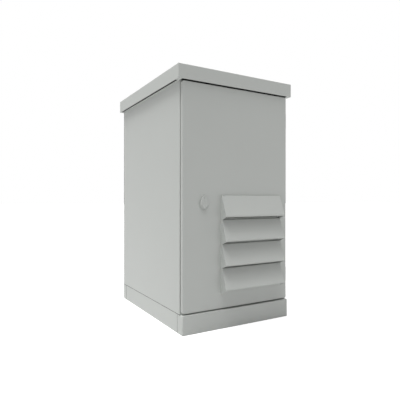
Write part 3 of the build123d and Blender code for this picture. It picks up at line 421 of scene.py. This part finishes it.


# The widths set how dark a line of painted shade each joint shows, besides the sealant itself.
base_bead, rear_bead, plinth_bead = 2.6, 3.2, 1.4
wall_low, wall_high = millimetres("side_panel_right")
wall_face = wall_high[0]
trim_joint = (millimetres("plinth_front")[1][1] + millimetres("plinth_side_right")[0][1]) / 2
trim_foot, trim_room = 0.5, 1.0
trim_head = wall_low[2] - trim_room
beads = []
for side in (-1, 1):
    face, out = side * wall_face, (side, 0, 0)
    front_foot = (face, wall_low[1], wall_low[2])
    rear_foot = (face, wall_high[1], wall_low[2])
    rear_head = (face, wall_high[1], wall_high[2])
    beads.append(sealant_bead(front_foot, rear_foot, out, base_bead))
    beads.append(sealant_bead(rear_foot, rear_head, out, rear_bead))
    for joint in (trim_joint, -trim_joint):
        beads.append(sealant_bead((face, joint, trim_foot), (face, joint, trim_head), out, plinth_bead))
bead_faces = capped_faces(*beads[0].shape[:2], len(beads))
sealant_and_painted_joint_shade = add_piece("sealant_and_painted_joint_shade", np.stack(beads), bead_faces, rubber_and_painted_shade)
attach(sealant_and_painted_joint_shade, "cabinet")


# Roof
# A flat hood with a folded skirt and a plate welded into each corner, bolted to two hat-section rails.
# The hood is powder coated, the rails are bare zinc-coated steel, and the drip rims have black rubber edging
# that also paints the skirt gap's shade.

def spangle_group():
    """Zinc skin: each crystal of a cell pattern has its own tone and roughness, under a slow drift."""
    bench = NodeBench("zinc_spangle", finish_inputs, finish_outputs)
    parts = bench.group.nodes.new("ShaderNodeSeparateColor")
    bench.group.links.new(bench.cells()["Color"], parts.inputs["Color"])
    lustre_share = 0.14
    crystal = bench.centred(parts.outputs[0])
    lustre = bench.centred(parts.outputs[1])
    blotch = bench.noise(scale=5.0, detail=4.0)
    speck = bench.noise(scale=900.0, detail=2.0)
    change = bench.times(bench.add(crystal, blotch), bench.inlet["Drift"])
    gloss = bench.times(bench.add(lustre, speck), lustre_share)
    return bench.finish(change, gloss, bench.add(crystal, speck))


zinc_spangle = spangle_group()
zinc_plate = finished(
    "zinc_coated_steel", zinc_spangle, tone=(0.4, 0.41, 0.42),
    drift=0.13, cells=110.0, roughness=0.46, bump=0.05, metal=1.0,
)
dress(powder_coat, 0.001, "roof")
dress(zinc_plate, 0.0, "roof_rail_left", "roof_rail_right")

rim_low, rim_high = millimetres("top_panel")
rim_sheet, front_room, rear_room = 2.0, 15.0, 5.0
edging_ends = np.array([rim_low[1] + front_room, rim_high[1] - rear_room])
edging_section = np.array([
    (-6.5, -2.5), (0.6, -2.6), (1.7, -2.2), (2.4, -1.3), (2.6, 0), (2.4, 1.3), (1.7, 2.2), (0.6, 2.6),
    (-6.5, 2.5), (-6.2, 1.1), (0.1, 1.1), (0.1, -1.1), (-6.2, -1.1),
])
edging_places = edging_section + [rim_high[0], rim_high[2] - rim_sheet / 2]


def carried(section, ends, along):
    """A closed section in millimetres carried straight along an axis between two ends, as points in metres.
    The axis crossed with the step along the section points outward."""
    return np.stack([np.insert(section, along, end, axis=1) for end in ends]) / 1000


# The black edging along each drip rim also paints the shade in the thin gap under the roof skirt, where it
# shows as a dark line.
for side, section in (("right", edging_places), ("left", (edging_places * [-1, 1])[::-1])):
    strip_points = carried(section, edging_ends, 1)
    strip_faces = capped_faces(2, len(section))
    strip = add_piece("rim_edging_and_painted_gap_shade_" + side, strip_points, strip_faces, rubber_and_painted_shade, smooth=False)
    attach(strip, "cabinet")

skirt_sheet, plate_sheet, plate_lift, plate_gap, edging_gap, plate_round = 2.0, 2.0, 0.3, 1.0, 2.0, 8.0
roof_low, roof_high = millimetres("roof")
skirt_x, skirt_y = roof_high[0] - skirt_sheet, roof_high[1] - skirt_sheet
plate_width = skirt_x - wall_face - plate_gap
plate_lengths = skirt_y - np.abs(edging_ends) - edging_gap
plate_levels = roof_low[2] + plate_lift + np.array([0, plate_sheet])


def corner_plate(side, end, length):
    """A flat plate welded into a corner of the skirt, as points in metres: a rectangle from the skirt's inner
    corner whose free corner is rounded by a quarter circle, as a clockwise outline at its two levels."""
    round_steps = 7
    quarter = np.linspace(np.pi / 2, 0, round_steps)
    round_side = plate_width - plate_round * (1 - np.cos(quarter))
    round_end = length - plate_round * (1 - np.sin(quarter))
    from_side = np.concatenate([[0, 0], round_side, [plate_width]])
    from_end = np.concatenate([[0, length], round_end, [0]])
    outline = np.stack([side * (skirt_x - from_side), end * (skirt_y - from_end)], -1)[:: side * end]
    return np.stack([np.insert(outline, 2, level, axis=1) for level in plate_levels]) / 1000


corners = [(side, end, length) for end, length in zip((-1, 1), plate_lengths) for side in (-1, 1)]
plates = np.stack([corner_plate(*corner) for corner in corners])
plate_faces = capped_faces(*plates.shape[1:3], len(plates))
roof_plates = add_piece("roof_corner_plates", plates, plate_faces, powder_coat, smooth=False)
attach(roof_plates, "cabinet")


# Rack
# Four punched angle rails on four channel beams along the side walls, all zinc-coated steel.
# Flange nuts hold the rails to the beams, and equipment is fixed to the rails' square holes.

flange_nut = [
    ("round", 6.6, 0), ("round", 6.6, 0.8), ("round", 5.4, 1.4), ("hex", 5.0, 1.5), ("hex", 5.0, 5.4),
    ("round", 4.6, 5.9), ("round", 3.0, 5.9), ("round", 3.0, 7.6), ("round", 2.3, 8.3),
]
dress(zinc_plate, 0.0, *[name for name in nodes if name.startswith(("rack_rail", "rack_beam"))])
rail_sheet, bolt_inset = 2.0, 20.0
front_rail_low, front_rail_high = millimetres("rack_rail_front_right")
rear_rail_high = millimetres("rack_rail_rear_right")[1]
bolt_x = front_rail_high[0] - rail_sheet
bolt_y = (front_rail_low[1] + bolt_inset, rear_rail_high[1] - bolt_inset)
bolt_z = [millimetres(beam).mean(0)[2] for beam in ("rack_beam_lower_right", "rack_beam_upper_right")]
for name, side in (("rack_nuts_left", -1), ("rack_nuts_right", 1)):
    bolt_places = [(side * bolt_x, y, z) for y in bolt_y for z in bolt_z]
    fasten(name, bolt_places, (-side, 0, 0), flange_nut, screw_steel, "cabinet")


# Controls
# A top-hat rail across the front rails carries the temperature control and a circuit breaker, clipped on.
# Pale moulded plastic cases with a dark dial and a dark lever; the dial has a printed scale of plain ticks.

pale_plastic = finished(
    "pale_moulded_plastic", sprayed_coat, tone=(0.62, 0.63, 0.62),
    drift=0.04, cells=1500.0, roughness=0.45, bump=0.1,
)
dark_plastic = finished(
    "dark_moulded_plastic", sprayed_coat, tone=(0.05, 0.05, 0.054),
    drift=0.12, cells=1500.0, roughness=0.5, bump=0.15,
)
print_ink = finished(
    "dark_print_ink", sprayed_coat, tone=(0.08, 0.08, 0.085),
    drift=0.2, cells=2500.0, roughness=0.6, bump=0.05,
)
white_ink = finished(
    "white_print_ink", sprayed_coat, tone=(0.75, 0.75, 0.73),
    drift=0.08, cells=2500.0, roughness=0.6, bump=0.05,
)
dress(zinc_plate, 0.0, "din_rail")
dress(pale_plastic, 0.0008, "climate_control_body", "breaker_body")
dress(dark_plastic, 0.0005, "climate_control_dial", "breaker_lever")


def printed_bars(name, centre, turns, inner, outer, width, material, body, film=0.06):
    """Flat bars printed on a face that looks along -Y, set round a centre like spokes, sizes in millimetres.
    A bar's corners are its inner and outer radius along its spoke, moved sideways by half its width,
    on the face and again one film thickness in front of it."""
    turns = np.asarray(turns, float)[:, None]
    along = np.array([inner, outer, outer, inner])
    across = np.array([-1, -1, 1, 1]) * width / 2
    x = centre[0] + along * np.sin(turns) + across * np.cos(turns)
    z = centre[2] + along * np.cos(turns) - across * np.sin(turns)
    ink = np.stack([x, np.full_like(x, centre[1]), z], -1)
    points = np.stack([ink - [0, film, 0], ink], 1) / 1000
    front_and_back = [[3, 2, 1, 0], [4, 5, 6, 7]]
    edges = [[0, 1, 5, 4], [1, 2, 6, 5], [2, 3, 7, 6], [3, 0, 4, 7]]
    faces = np.array(front_and_back + edges) + np.arange(len(turns))[:, None, None] * 8
    piece = add_piece(name, points, faces.reshape(-1, 4), material, smooth=False)
    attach(piece, body)


dial_low, dial_high = millimetres("climate_control_dial")
dial_x, _, dial_z = (dial_low + dial_high) / 2
dial_radius = (dial_high[0] - dial_low[0]) / 2
dial_reach, dial_ticks = 135, 11
dial_sweep = np.radians(np.linspace(-dial_reach, dial_reach, dial_ticks))
control_face = millimetres("climate_control_body")[0][1]
printed_bars(
    "dial_scale", (dial_x, control_face, dial_z), dial_sweep,
    inner=dial_radius + 0.7, outer=dial_radius + 2.9, width=0.7,
    material=print_ink, body="cabinet",
)
printed_bars(
    "dial_pointer", (dial_x, dial_low[1], dial_z), [0.0],
    inner=2.0, outer=8.6, width=1.0,
    material=white_ink, body="dial",
)

terminal_head = [
    ("round", 3.1, 0), ("round", 3.1, 0.6), ("round", 2.5, 1.2), ("hex", 1.2, 1.2), ("hex", 1.2, 0.3),
    ("round", 0.5, 0.25),
]
breaker_low, breaker_high = millimetres("breaker_body")
breaker_x, _, breaker_z = (breaker_low + breaker_high) / 2
breaker_nose, breaker_reach = 22.0, 33.0
control_drop, control_pitch = 24.0, 10.0
terminals = [(breaker_x, breaker_low[1] + breaker_nose, breaker_z + way * breaker_reach) for way in (-1, 1)]
terminals += [(dial_x + way * control_pitch, control_face, dial_z - control_drop) for way in (-1, 0, 1)]
fasten("terminal_screws", terminals, (0, -1, 0), terminal_head, screw_steel, "cabinet")

rail_low, rail_high = millimetres("din_rail")
rail_strip, rail_inset = 1.0, 17.5
rail_face, rail_z = rail_high[1] - rail_strip, (rail_low[2] + rail_high[2]) / 2
rail_places = [(x, rail_face, rail_z) for x in (rail_low[0] + rail_inset, rail_high[0] - rail_inset)]
fasten("mounting_rail_screws", rail_places, (0, -1, 0), button_head, screw_steel, "cabinet")


# Cable entry
# A zinc-coated plate over the floor's cable hole with two moulded rubber lips that close round the cables.
# The plate is screwed to the floor, and the lips meet in a slit along the middle.

dress(zinc_plate, 0.0, "cable_plate")
dress(rubber_and_painted_shade, 0.001, "cable_lips")
entry_inset, entry_columns = 10.0, 3
entry_low, entry_high = millimetres("cable_plate")
entry_x = np.linspace(entry_low[0] + entry_inset, entry_high[0] - entry_inset, entry_columns)
entry_y = (entry_low[1] + entry_inset, entry_high[1] - entry_inset)
entry_places = [(x, y, entry_high[2]) for x in entry_x for y in entry_y]
fasten("cable_plate_screws", entry_places, (0, 0, 1), button_head, screw_steel, "cabinet")


# Door
# A folded steel pan with hemmed edges, stiffened by two zinc-coated hat sections across its inside.
# Powder coated like the body, with a seal of foam poured round the inside as one soft bead.

def foam_group():
    """Foamed skin: small round cells in the relief and a slow drift in the tone."""
    bench = NodeBench("poured_foam", finish_inputs, finish_outputs)
    drift = bench.times(bench.noise(scale=40.0, detail=3.0), bench.inlet["Drift"])
    gloss_share = 0.3
    return bench.finish(drift, bench.times(drift, gloss_share), bench.cells()["Distance"])


dress(powder_coat, 0.0, "door_panel")
dress(zinc_plate, 0.0, "door_stiffener_upper", "door_stiffener_lower")
foam = finished(
    "poured_foam", foam_group(), tone=(0.035, 0.036, 0.038),
    drift=0.5, cells=700.0, roughness=0.85, bump=0.6,
)


def seal_bead(half_x, low, high, corner, width, seat, crown):
    """A bead carried round a rectangle with round corners, in millimetres, in the plane of the door's inside.
    The section is a half ellipse with a full crown; along its way it swells and sinks by a few slow waves,
    and it dips where the pour ends on its own start, in the middle of the lower run."""
    corner_steps, stations, section_points = 12, 900, 13
    end_dip, end_spread = 0.3, 5.0
    swell_share, mean_rise, mean_width, crown_power = 0.015, 0.94, 0.95, 0.8
    quarter = np.linspace(0, np.pi / 2, corner_steps)
    turn = np.concatenate([quarter + k * np.pi / 2 for k in range(4)])
    middle_x = np.repeat(np.array([1, -1, -1, 1]) * (half_x - corner), corner_steps)
    middle_z = np.repeat([high - corner, high - corner, low + corner, low + corner], corner_steps)
    loop_x = np.concatenate([[0], np.roll(middle_x + corner * np.cos(turn), corner_steps), [0]])
    loop_z = np.concatenate([[low], np.roll(middle_z + corner * np.sin(turn), corner_steps), [low]])
    reach = np.concatenate([[0], np.cumsum(np.hypot(np.diff(loop_x), np.diff(loop_z)))])
    way = np.linspace(0, reach[-1], stations + 1)[:-1]
    x, z = np.interp(way, reach, loop_x), np.interp(way, reach, loop_z)
    step_x, step_z = np.roll(x, -1) - np.roll(x, 1), np.roll(z, -1) - np.roll(z, 1)
    length = np.hypot(step_x, step_z)
    out_x, out_z = step_z / length, -step_x / length
    turns = 2 * np.pi * way / reach[-1]
    waves = [(1.0, 23, 0), (0.6, 61, 1), (0.4, 140, 2)]
    swell = swell_share * sum(share * np.sin(count * turns + shift) for share, count, shift in waves)
    near_end = np.minimum(way, reach[-1] - way)
    rise = (mean_rise + swell) * (1 - end_dip * np.exp(-(near_end / end_spread) ** 2))
    arc = np.linspace(0, np.pi, section_points)
    across = width / 2 * np.cos(arc) * (mean_width + swell[:, None])
    height = (crown - seat) * np.sin(arc) ** crown_power * rise[:, None]
    places = [x[:, None] + out_x[:, None] * across, seat + height, z[:, None] + out_z[:, None] * across]
    return np.stack(places, -1)[:, ::-1]


seal_width, seal_corner = 16.0, 10.0
seal_low, seal_high = millimetres("door_gasket")
seal_line_low, seal_line_high = seal_low + seal_width / 2, seal_high - seal_width / 2
bead = seal_bead(
    half_x=seal_line_high[0], low=seal_line_low[2], high=seal_line_high[2], corner=seal_corner,
    width=seal_width, seat=seal_low[1], crown=seal_high[1],
)
seal_faces = grid_faces(*bead.shape[:2], closed_u=True, closed_v=True)
door_seal = add_piece("door_seal_bead", bead / 1000, seal_faces, foam)
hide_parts("door_gasket")
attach(door_seal, "door")


# Hinges
# Two lift-off barrel hinges outside the right edge: a leaf with its pin on the side, a capped one on the
# door. Steel, powder coated with the body, each leaf held by two screws.

small_head = [
    ("round", 3.4, 0), ("round", 3.4, 0.5), ("round", 3.0, 1.2), ("round", 2.2, 1.8), ("hex", 1.3, 1.8),
    ("hex", 1.3, 0.7), ("round", 0.5, 0.65),
]
dress(powder_coat, 0.0006, "hinge_body_leaves", "hinge_door_leaves")
leaf_sheet, leaf_height, leaf_play = 3.0, 40.0, 0.5
body_screw_inset, door_screw_inset = 13.5, 4.2
screw_steps = (11.0, 30.0)
body_leaf_low, body_leaf_high = millimetres("hinge_body_leaves")
door_leaf_low, door_leaf_high = millimetres("hinge_door_leaves")
leaf_face = body_leaf_low[0] + leaf_sheet
hinge_splits = np.array([door_leaf_high[2] - leaf_height, door_leaf_low[2]]) - leaf_play / 2
body_screw_y, door_screw_y = body_leaf_high[1] - body_screw_inset, door_leaf_low[1] + door_screw_inset
body_screws = [(leaf_face, body_screw_y, split - step) for split in hinge_splits for step in screw_steps]
door_screws = [(leaf_face, door_screw_y, split + step) for split in hinge_splits for step in screw_steps]
fasten("hinge_body_screws", body_screws, (1, 0, 0), button_head, screw_steel, "cabinet")
fasten("hinge_door_screws", door_screws, (1, 0, 0), small_head, screw_steel, "door")


# Louvre
# Two sawtooth cheeks and a folded foot with four like blades between them, spot-welded to the door's face.
# Folded steel, powder coated with the door; a low upstand on the foot keeps out water below the last blade.

dress(powder_coat, 0.0, *[name for name in nodes if name.startswith("louvre_")])
foot_sheet, upstand_reach, upstand_height, upstand_sheet = 2.0, 17.0, 13.0, 2.0
louvre_low, louvre_high = millimetres("louvre_frame")
upstand_foot = np.array([louvre_high[1] - upstand_reach, louvre_low[2] + foot_sheet])
upstand_ends = (louvre_low[0] + foot_sheet, louvre_high[0] - foot_sheet)
# A point of the rounded top is a depth behind the upstand's front and a drop below its height.
round_top = [(0, 0.7), (0.3, 0.2), (1.0, 0), (1.7, 0.2), (upstand_sheet, 0.7)]
upstand_rows = [(0, 0), *[(depth, upstand_height - drop) for depth, drop in round_top], (upstand_sheet, 0)]
upstand_section = upstand_foot + np.array(upstand_rows)
upstand_points = carried(upstand_section, upstand_ends, 0)
upstand_faces = capped_faces(2, len(upstand_section))
upstand = add_piece("louvre_upstand", upstand_points, upstand_faces, powder_coat, smooth=False)
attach(upstand, "door")


# Lock
# A cast housing with a key barrel under a hanging cover; a gear case behind the door drives two flat rods.
# The casting and cover are coated in the door's grey, the barrel is turned brass, the rods are zinc plated.

lock_x, _, lock_z = millimetres("lock_barrel").mean(0)


def turned_group():
    """Turned metal: fine rings about the lock's axis in tone and relief, over a slow drift."""
    bench = NodeBench("turned_rings", finish_inputs, finish_outputs)
    on_axis = bench.group.nodes.new("ShaderNodeMapping")
    on_axis.inputs["Location"].default_value = (-lock_x / 1000, 0, -lock_z / 1000)
    bench.group.links.new(bench.place, on_axis.inputs["Vector"])
    rings = bench.group.nodes.new("ShaderNodeTexWave")
    rings.wave_type = "RINGS"
    rings.rings_direction = "Y"
    rings.inputs["Distortion"].default_value = 0.4
    bench.group.links.new(bench.inlet["Cells per metre"], rings.inputs["Scale"])
    bench.group.links.new(on_axis.outputs["Vector"], rings.inputs["Vector"])
    groove = bench.centred(rings.outputs["Fac"])
    change = bench.times(bench.add(groove, bench.noise(scale=120.0, detail=3.0)), bench.inlet["Drift"])
    gloss_share = 0.1
    return bench.finish(change, bench.times(groove, gloss_share), groove)


brass = finished(
    "turned_brass", turned_group(), tone=(0.5, 0.38, 0.18),
    drift=0.12, cells=600.0, roughness=0.36, bump=0.15, metal=1.0,
)
dark_casting = finished(
    "dark_coated_casting", sprayed_coat, tone=(0.05, 0.05, 0.053),
    drift=0.12, cells=700.0, roughness=0.5, bump=0.3,
)
cast_coat = finished(
    "coated_casting", sprayed_coat, tone=(0.5, 0.518, 0.498),
    drift=0.08, cells=480.0, roughness=0.46, bump=0.4,
)
dress(cast_coat, 0.0006, "lock_housing")
dress(brass, 0.0, "lock_barrel")
dress(dark_casting, 0.001, "lock_case")
dress(dark_plastic, 0.0006, "rod_guides")
dress(zinc_plate, 0.0004, "lock_rod_upper", "lock_rod_lower")


def cover_shape(radius, lug_radius, lug_rise, thick, groove):
    """The lock's cover, as rings from the middle of its back over its edge to the middle of its front, in
    millimetres. The outline in polar form is a circle; below, the two lines that touch it and meet in a
    square point; above, the two lines that touch it and the small lug circle, then that circle. A ring is
    the outline drawn in by its inset, at its share of the thickness: the front has an eased edge and a dished
    middle. A flat groove for the finger is cut just inside the lines of the point, and fades out upwards."""
    columns = 144
    turn = -np.arange(columns) * 2 * np.pi / columns
    tilt = np.arcsin((radius - lug_radius) / lug_rise)
    folded_turn = np.arctan2(np.sin(turn), np.abs(np.cos(turn)))
    lug_start = np.arctan2(lug_rise + lug_radius * np.sin(tilt), lug_radius * np.cos(tilt))
    inside = np.maximum(lug_radius**2 - (lug_rise * np.cos(folded_turn)) ** 2, 0)
    lug = lug_rise * np.sin(folded_turn) + np.sqrt(inside)
    shoulder = radius / np.cos(folded_turn - tilt)
    point = radius / np.cos(folded_turn + np.pi / 4)
    where = [folded_turn > lug_start, folded_turn > tilt, folded_turn < -np.pi / 4]
    edge = np.select(where, [lug, shoulder, point], radius)
    back = [(20.0, 0.0), (0.9, 0.0)]
    eased_edge = [(0.3, 0.05), (0.0, 0.5), (0.25, 0.8), (0.9, 0.97)]
    face = [(inset, 1.0) for inset in (1.6, 2.1, 2.4, 2.9, 4.5, 6.1, 6.6, 6.9, 7.6, 8.8)]
    dish = [(10.2, 0.97), (11.8, 0.86), (13.4, 0.7), (15.0, 0.58), (17.0, 0.5), (19.5, 0.47)]
    dish_floor = [(22.0, 0.46), (24.5, 0.46)]
    inset, level = np.array(back + eased_edge + face + dish + dish_floor).T
    reach = np.outer(1 - inset / radius, edge)
    reach[[0, -1]] = (radius - inset[[0, -1]])[:, None]
    x, z = reach * np.cos(turn), reach * np.sin(turn)
    from_point = radius - (np.abs(x) - z) / np.sqrt(2)
    groove_line, groove_half, fade_height, fade_length = 4.5, 2.4, -5.0, 1.6
    flat_power, front_level = 8, 0.9
    below = 1 / (1 + np.exp((z - fade_height) / fade_length))
    across_groove = np.clip(1 - ((from_point - groove_line) / groove_half) ** flat_power, 0, 1)
    cut = groove * across_groove * below * (level > front_level)[:, None]
    return x, level[:, None] * thick - cut, z


lug_radius, cover_groove = 8.0, 3.4
cover_low, cover_high = millimetres("lock_cover")
lug_rise = cover_high[2] - lug_radius - lock_z
cover_x, cover_rise, cover_z = cover_shape(
    radius=cover_high[0] - lock_x, lug_radius=lug_radius, lug_rise=lug_rise,
    thick=cover_high[1] - cover_low[1], groove=cover_groove,
)
cover_points = np.stack([lock_x + cover_x, cover_high[1] - cover_rise, lock_z + cover_z], -1) / 1000
lock_cover = add_piece("lock_hanging_cover", cover_points, capped_faces(*cover_x.shape), powder_coat)
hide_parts("lock_cover")
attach(lock_cover, "lock_cover_body")

pivot_head = [
    ("round", 5.4, 0), ("round", 5.4, 1.3), ("round", 4.7, 2.5), ("round", 3.2, 3.2), ("hex", 2.1, 3.2),
    ("hex", 2.1, 2.1), ("round", 0.8, 2.05),
]
pivot_play = 0.2
pivot_place = (lock_x, cover_low[1] - pivot_play, lock_z + lug_rise)
fasten("lock_pivot_screw", [pivot_place], (0, -1, 0), pivot_head, cast_coat, "door")

case_inset_x, case_inset_z = 6.0, 7.0
case_low, case_high = millimetres("lock_case")
case_x = (case_low[0] + case_inset_x, case_high[0] - case_inset_x)
case_z = (case_low[2] + case_inset_z, case_high[2] - case_inset_z)
case_places = [(x, case_high[1], z) for x in case_x for z in case_z]
fasten("lock_case_screws", case_places, (0, 1, 0), small_head, screw_steel, "door")


# Climate unit
# A zinc-coated casing inside the door with a filter, two fans and two sets of aluminium fins on a partition.
# Its cover is powder coated, the fans are moulded black plastic, the filter is a pleated fleece in a frame.

def drawn_group():
    """Extruded metal: lines drawn out along the height in tone, roughness and relief."""
    bench = NodeBench("drawn_lines", finish_inputs, finish_outputs)
    height_share, gloss_share = 0.01, 0.2
    upright = bench.stretched(1.0, 1.0, height_share)
    lines = bench.noise(scale=bench.inlet["Cells per metre"], detail=3.0, where=upright)
    change = bench.times(bench.add(lines, bench.noise(scale=6.0, detail=3.0)), bench.inlet["Drift"])
    return bench.finish(change, bench.times(lines, gloss_share), lines)


def fleece_group():
    """Bonded fleece: fibres lying two ways as stretched noise, in tone and relief."""
    bench = NodeBench("bonded_fleece", finish_inputs, finish_outputs)
    along_share, gloss_share = 0.12, 0.1
    fineness = bench.inlet["Cells per metre"]
    upright = bench.noise(scale=fineness, detail=4.0, where=bench.stretched(1.0, 1.0, along_share))
    level = bench.noise(scale=fineness, detail=4.0, where=bench.stretched(along_share, 1.0, 1.0))
    fibres = bench.sum("MAXIMUM", upright, level)
    change = bench.times(bench.add(fibres, bench.noise(scale=9.0, detail=3.0)), bench.inlet["Drift"])
    return bench.finish(change, bench.times(fibres, gloss_share), fibres)


fin_metal = finished(
    "extruded_aluminium", drawn_group(), tone=(0.5, 0.51, 0.52),
    drift=0.12, cells=900.0, roughness=0.42, bump=0.12, metal=1.0,
)
fleece = finished(
    "filter_fleece", fleece_group(), tone=(0.55, 0.56, 0.52),
    drift=0.5, cells=700.0, roughness=0.92, bump=1.0,
)
dress(zinc_plate, 0.0, "climate_casing", "climate_partition")
dress(powder_coat, 0.0, "climate_cover")
dress(fin_metal, 0.0, "outer_heat_sink", "inner_heat_sink")
dress(dark_plastic, 0.0, "outer_fan_frame", "inner_fan_frame")

casing_sheet, nut_inset, nut_share = 1.5, 5.0, 0.72
nut_column_count, nut_row_count = 4, 5
casing_low, casing_high = millimetres("climate_casing")
flange_face = casing_low[1] + casing_sheet
nut_columns = np.linspace(casing_low[0] + nut_inset, casing_high[0] - nut_inset, nut_column_count)
nut_rows = np.linspace(casing_low[2] + nut_inset, casing_high[2] - nut_inset, nut_row_count)
nut_places = [(x, flange_face, z) for x in nut_columns[[0, -1]] for z in nut_rows]
nut_places += [(x, flange_face, z) for x in nut_columns[1:-1] for z in nut_rows[[0, -1]]]
small_nut = [(shape, radius * nut_share, rise * nut_share) for shape, radius, rise in flange_nut]
fasten("casing_nuts", nut_places, (0, 1, 0), small_nut, screw_steel, "door")

lid_inset, lid_inset_middle, lid_rows = 10.0, 8.75, 3
lid_low, lid_high = millimetres("climate_cover")
lid_x = np.linspace(lid_low[0] + lid_inset, lid_high[0] - lid_inset, lid_rows)
lid_z = np.linspace(lid_low[2] + lid_inset, lid_high[2] - lid_inset, lid_rows)
lid_places = [(x, lid_high[1], z) for x in lid_x[[0, -1]] for z in lid_z]
lid_ends = (lid_low[2] + lid_inset_middle, lid_high[2] - lid_inset_middle)
lid_places += [(lid_x[1], lid_high[1], z) for z in lid_ends]
fasten("climate_cover_screws", lid_places, (0, 1, 0), small_head, screw_steel, "door")

frame_wall, frame_ease, sheet_tuck, sheet_thickness, sheet_rows = 11.0, 0.001, 3.0, 0.9, 15
pleat_count, pleat_steps, pleat_half_depth, pleat_crease = 31, 12, 3.9, 0.985
lean_reach, lean_rise, lean_run = 0.5, 61.0, 37.0
filter_low, filter_high = millimetres("filter_mat")
sheet_low, sheet_high = filter_low + frame_wall - sheet_tuck, filter_high - frame_wall + sheet_tuck
fold = np.linspace(0, pleat_count, pleat_count * pleat_steps + 1)
# A pleat is the arc sine of a sine a little below one: a zigzag whose creases are slightly round.
pleat_depth = pleat_half_depth * np.arcsin(pleat_crease * np.sin(2 * np.pi * fold)) * 2 / np.pi
sheet_x = np.interp(fold, [0, pleat_count], [sheet_low[0], sheet_high[0]])
sheet_y = (filter_low[1] + filter_high[1]) / 2 + pleat_depth
sheet_z = np.linspace(sheet_low[2], sheet_high[2], sheet_rows)[:, None]
lean = lean_reach * np.sin(sheet_z / lean_rise + sheet_x / lean_run)
pleats = np.stack(np.broadcast_arrays(sheet_x + lean, sheet_y, sheet_z), -1) / 1000
filter_sheet = add_piece("filter_pleats", pleats, grid_faces(*pleats.shape[:2])[:, ::-1], fleece)
wall = filter_sheet.modifiers.new("thickness", "SOLIDIFY")
wall.thickness = sheet_thickness / 1000
wall.offset = 0.0

# The frame is a rectangular strip carried round four corners, which are drawn in along both edges at once.
strip_across = np.array([0.0, frame_wall, frame_wall, 0.0])
strip_along = np.repeat([filter_low[1], filter_high[1]], 2)
corner_x = np.array([filter_low[0], filter_high[0], filter_high[0], filter_low[0]])[:, None]
corner_z = np.array([filter_low[2], filter_low[2], filter_high[2], filter_high[2]])[:, None]
inward_x, inward_z = np.array([[1, -1, -1, 1], [1, 1, -1, -1]])[..., None]
rim_places = [corner_x + inward_x * strip_across, strip_along, corner_z + inward_z * strip_across]
rim = np.stack(np.broadcast_arrays(*rim_places), -1) / 1000
rim_faces = grid_faces(4, 4, closed_u=True, closed_v=True)
filter_rim = add_piece("filter_frame", rim, rim_faces, dark_plastic, smooth=False)
ease = filter_rim.modifiers.new("ease", "BEVEL")
ease.width = frame_ease
ease.segments = ease_steps
for piece in (filter_sheet, filter_rim):
    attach(piece, "door")
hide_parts("filter_mat")
fold_lengths = np.hypot(np.diff(sheet_x), np.diff(pleat_depth))
flat_size = (float(fold_lengths.sum()) / 1000, float(np.ptp(sheet_z)) / 1000)


def impeller(name, way, hub, body, node):
    """A moulded fan wheel about an axis along Y, in millimetres, in the box of its CAD node: a hub cup turned
    from a closed section, and blades whose chord turns flatter and longer from root to tip, swept forward,
    with a lens section on a bowed middle line. Both are placed round the axis as whole arrays."""
    low, high = millimetres(node)
    middle, half, tip = (low + high) / 2, (high[1] - low[1]) / 2, (high[2] - low[2]) / 2
    columns, blades, spans, laps = 72, 6, 13, 20
    wall, bore, root_depth, edge_room = 4.0, 4.3, 2.0, 0.5
    root_chord, chord_gain, root_pitch, pitch_loss = 0.74, 0.42, 38, 14
    thickness, root_taper, tip_taper, bow_share = 2.4, 8, 14, 0.07
    tip_lead, lead_power = 0.3, 1.5
    section = np.array([
        (bore, -half), (hub - 9, -half), (hub - 4, -half + 0.5), (hub - 1.2, -half + 2), (hub, -half + 4.5),
        (hub, half - 0.6), (hub - 0.6, half), (hub - wall, half), (hub - wall, -half + wall + 2),
        (hub - wall - 2, -half + wall), (bore, -half + wall),
    ])
    out, deep = section.T[..., None]
    turn = -way * np.arange(columns) * 2 * np.pi / columns
    cup = np.stack(np.broadcast_arrays(out * np.cos(turn), way * deep, out * np.sin(turn)), -1)
    cup_faces = grid_faces(len(section), columns, closed_u=True, closed_v=True)[:, ::-1]
    span = np.linspace(0, 1, spans)[None, :, None]
    lap = np.arange(laps) * 2 * np.pi / laps
    radius = hub - root_depth + (tip - hub + root_depth) * span
    chord = hub * (root_chord + chord_gain * span)
    pitch = np.radians(root_pitch - pitch_loss * span)
    thick = thickness * np.minimum(1, np.minimum(root_taper * span, tip_taper * (1 - span)))
    bow = bow_share * chord * (1 - np.cos(lap) ** 2)
    forward, lift = chord / 2 * np.cos(lap), bow + thick / 2 * np.sin(lap)
    round_axis = np.arange(blades)[:, None, None] * 2 * np.pi / blades + tip_lead * span**lead_power
    angle = round_axis + (forward * np.cos(pitch) - lift * np.sin(pitch)) / radius
    depth = np.clip(forward * np.sin(pitch) + lift * np.cos(pitch), edge_room - half, half - edge_room)
    places = [radius * np.cos(angle), way * depth, way * radius * np.sin(angle)]
    fins = np.stack(np.broadcast_arrays(*places), -1)
    fin_starts = cup.size // 3 + np.arange(blades)[:, None, None] * spans * laps
    fin_faces = (grid_faces(spans, laps, closed_v=True) + fin_starts).reshape(-1, 4)
    points = (np.concatenate([cup.reshape(-1, 3), fins.reshape(-1, 3)]) + middle) / 1000
    wheel = add_piece(name, points, np.concatenate([cup_faces, fin_faces]).tolist(), dark_plastic)
    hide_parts(node)
    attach(wheel, body)


impeller("outer_fan_wheel", way=1, hub=46.0, body="outer_fan", node="outer_fan_impeller")
impeller("inner_fan_wheel", way=-1, hub=40.0, body="inner_fan", node="inner_fan_impeller")
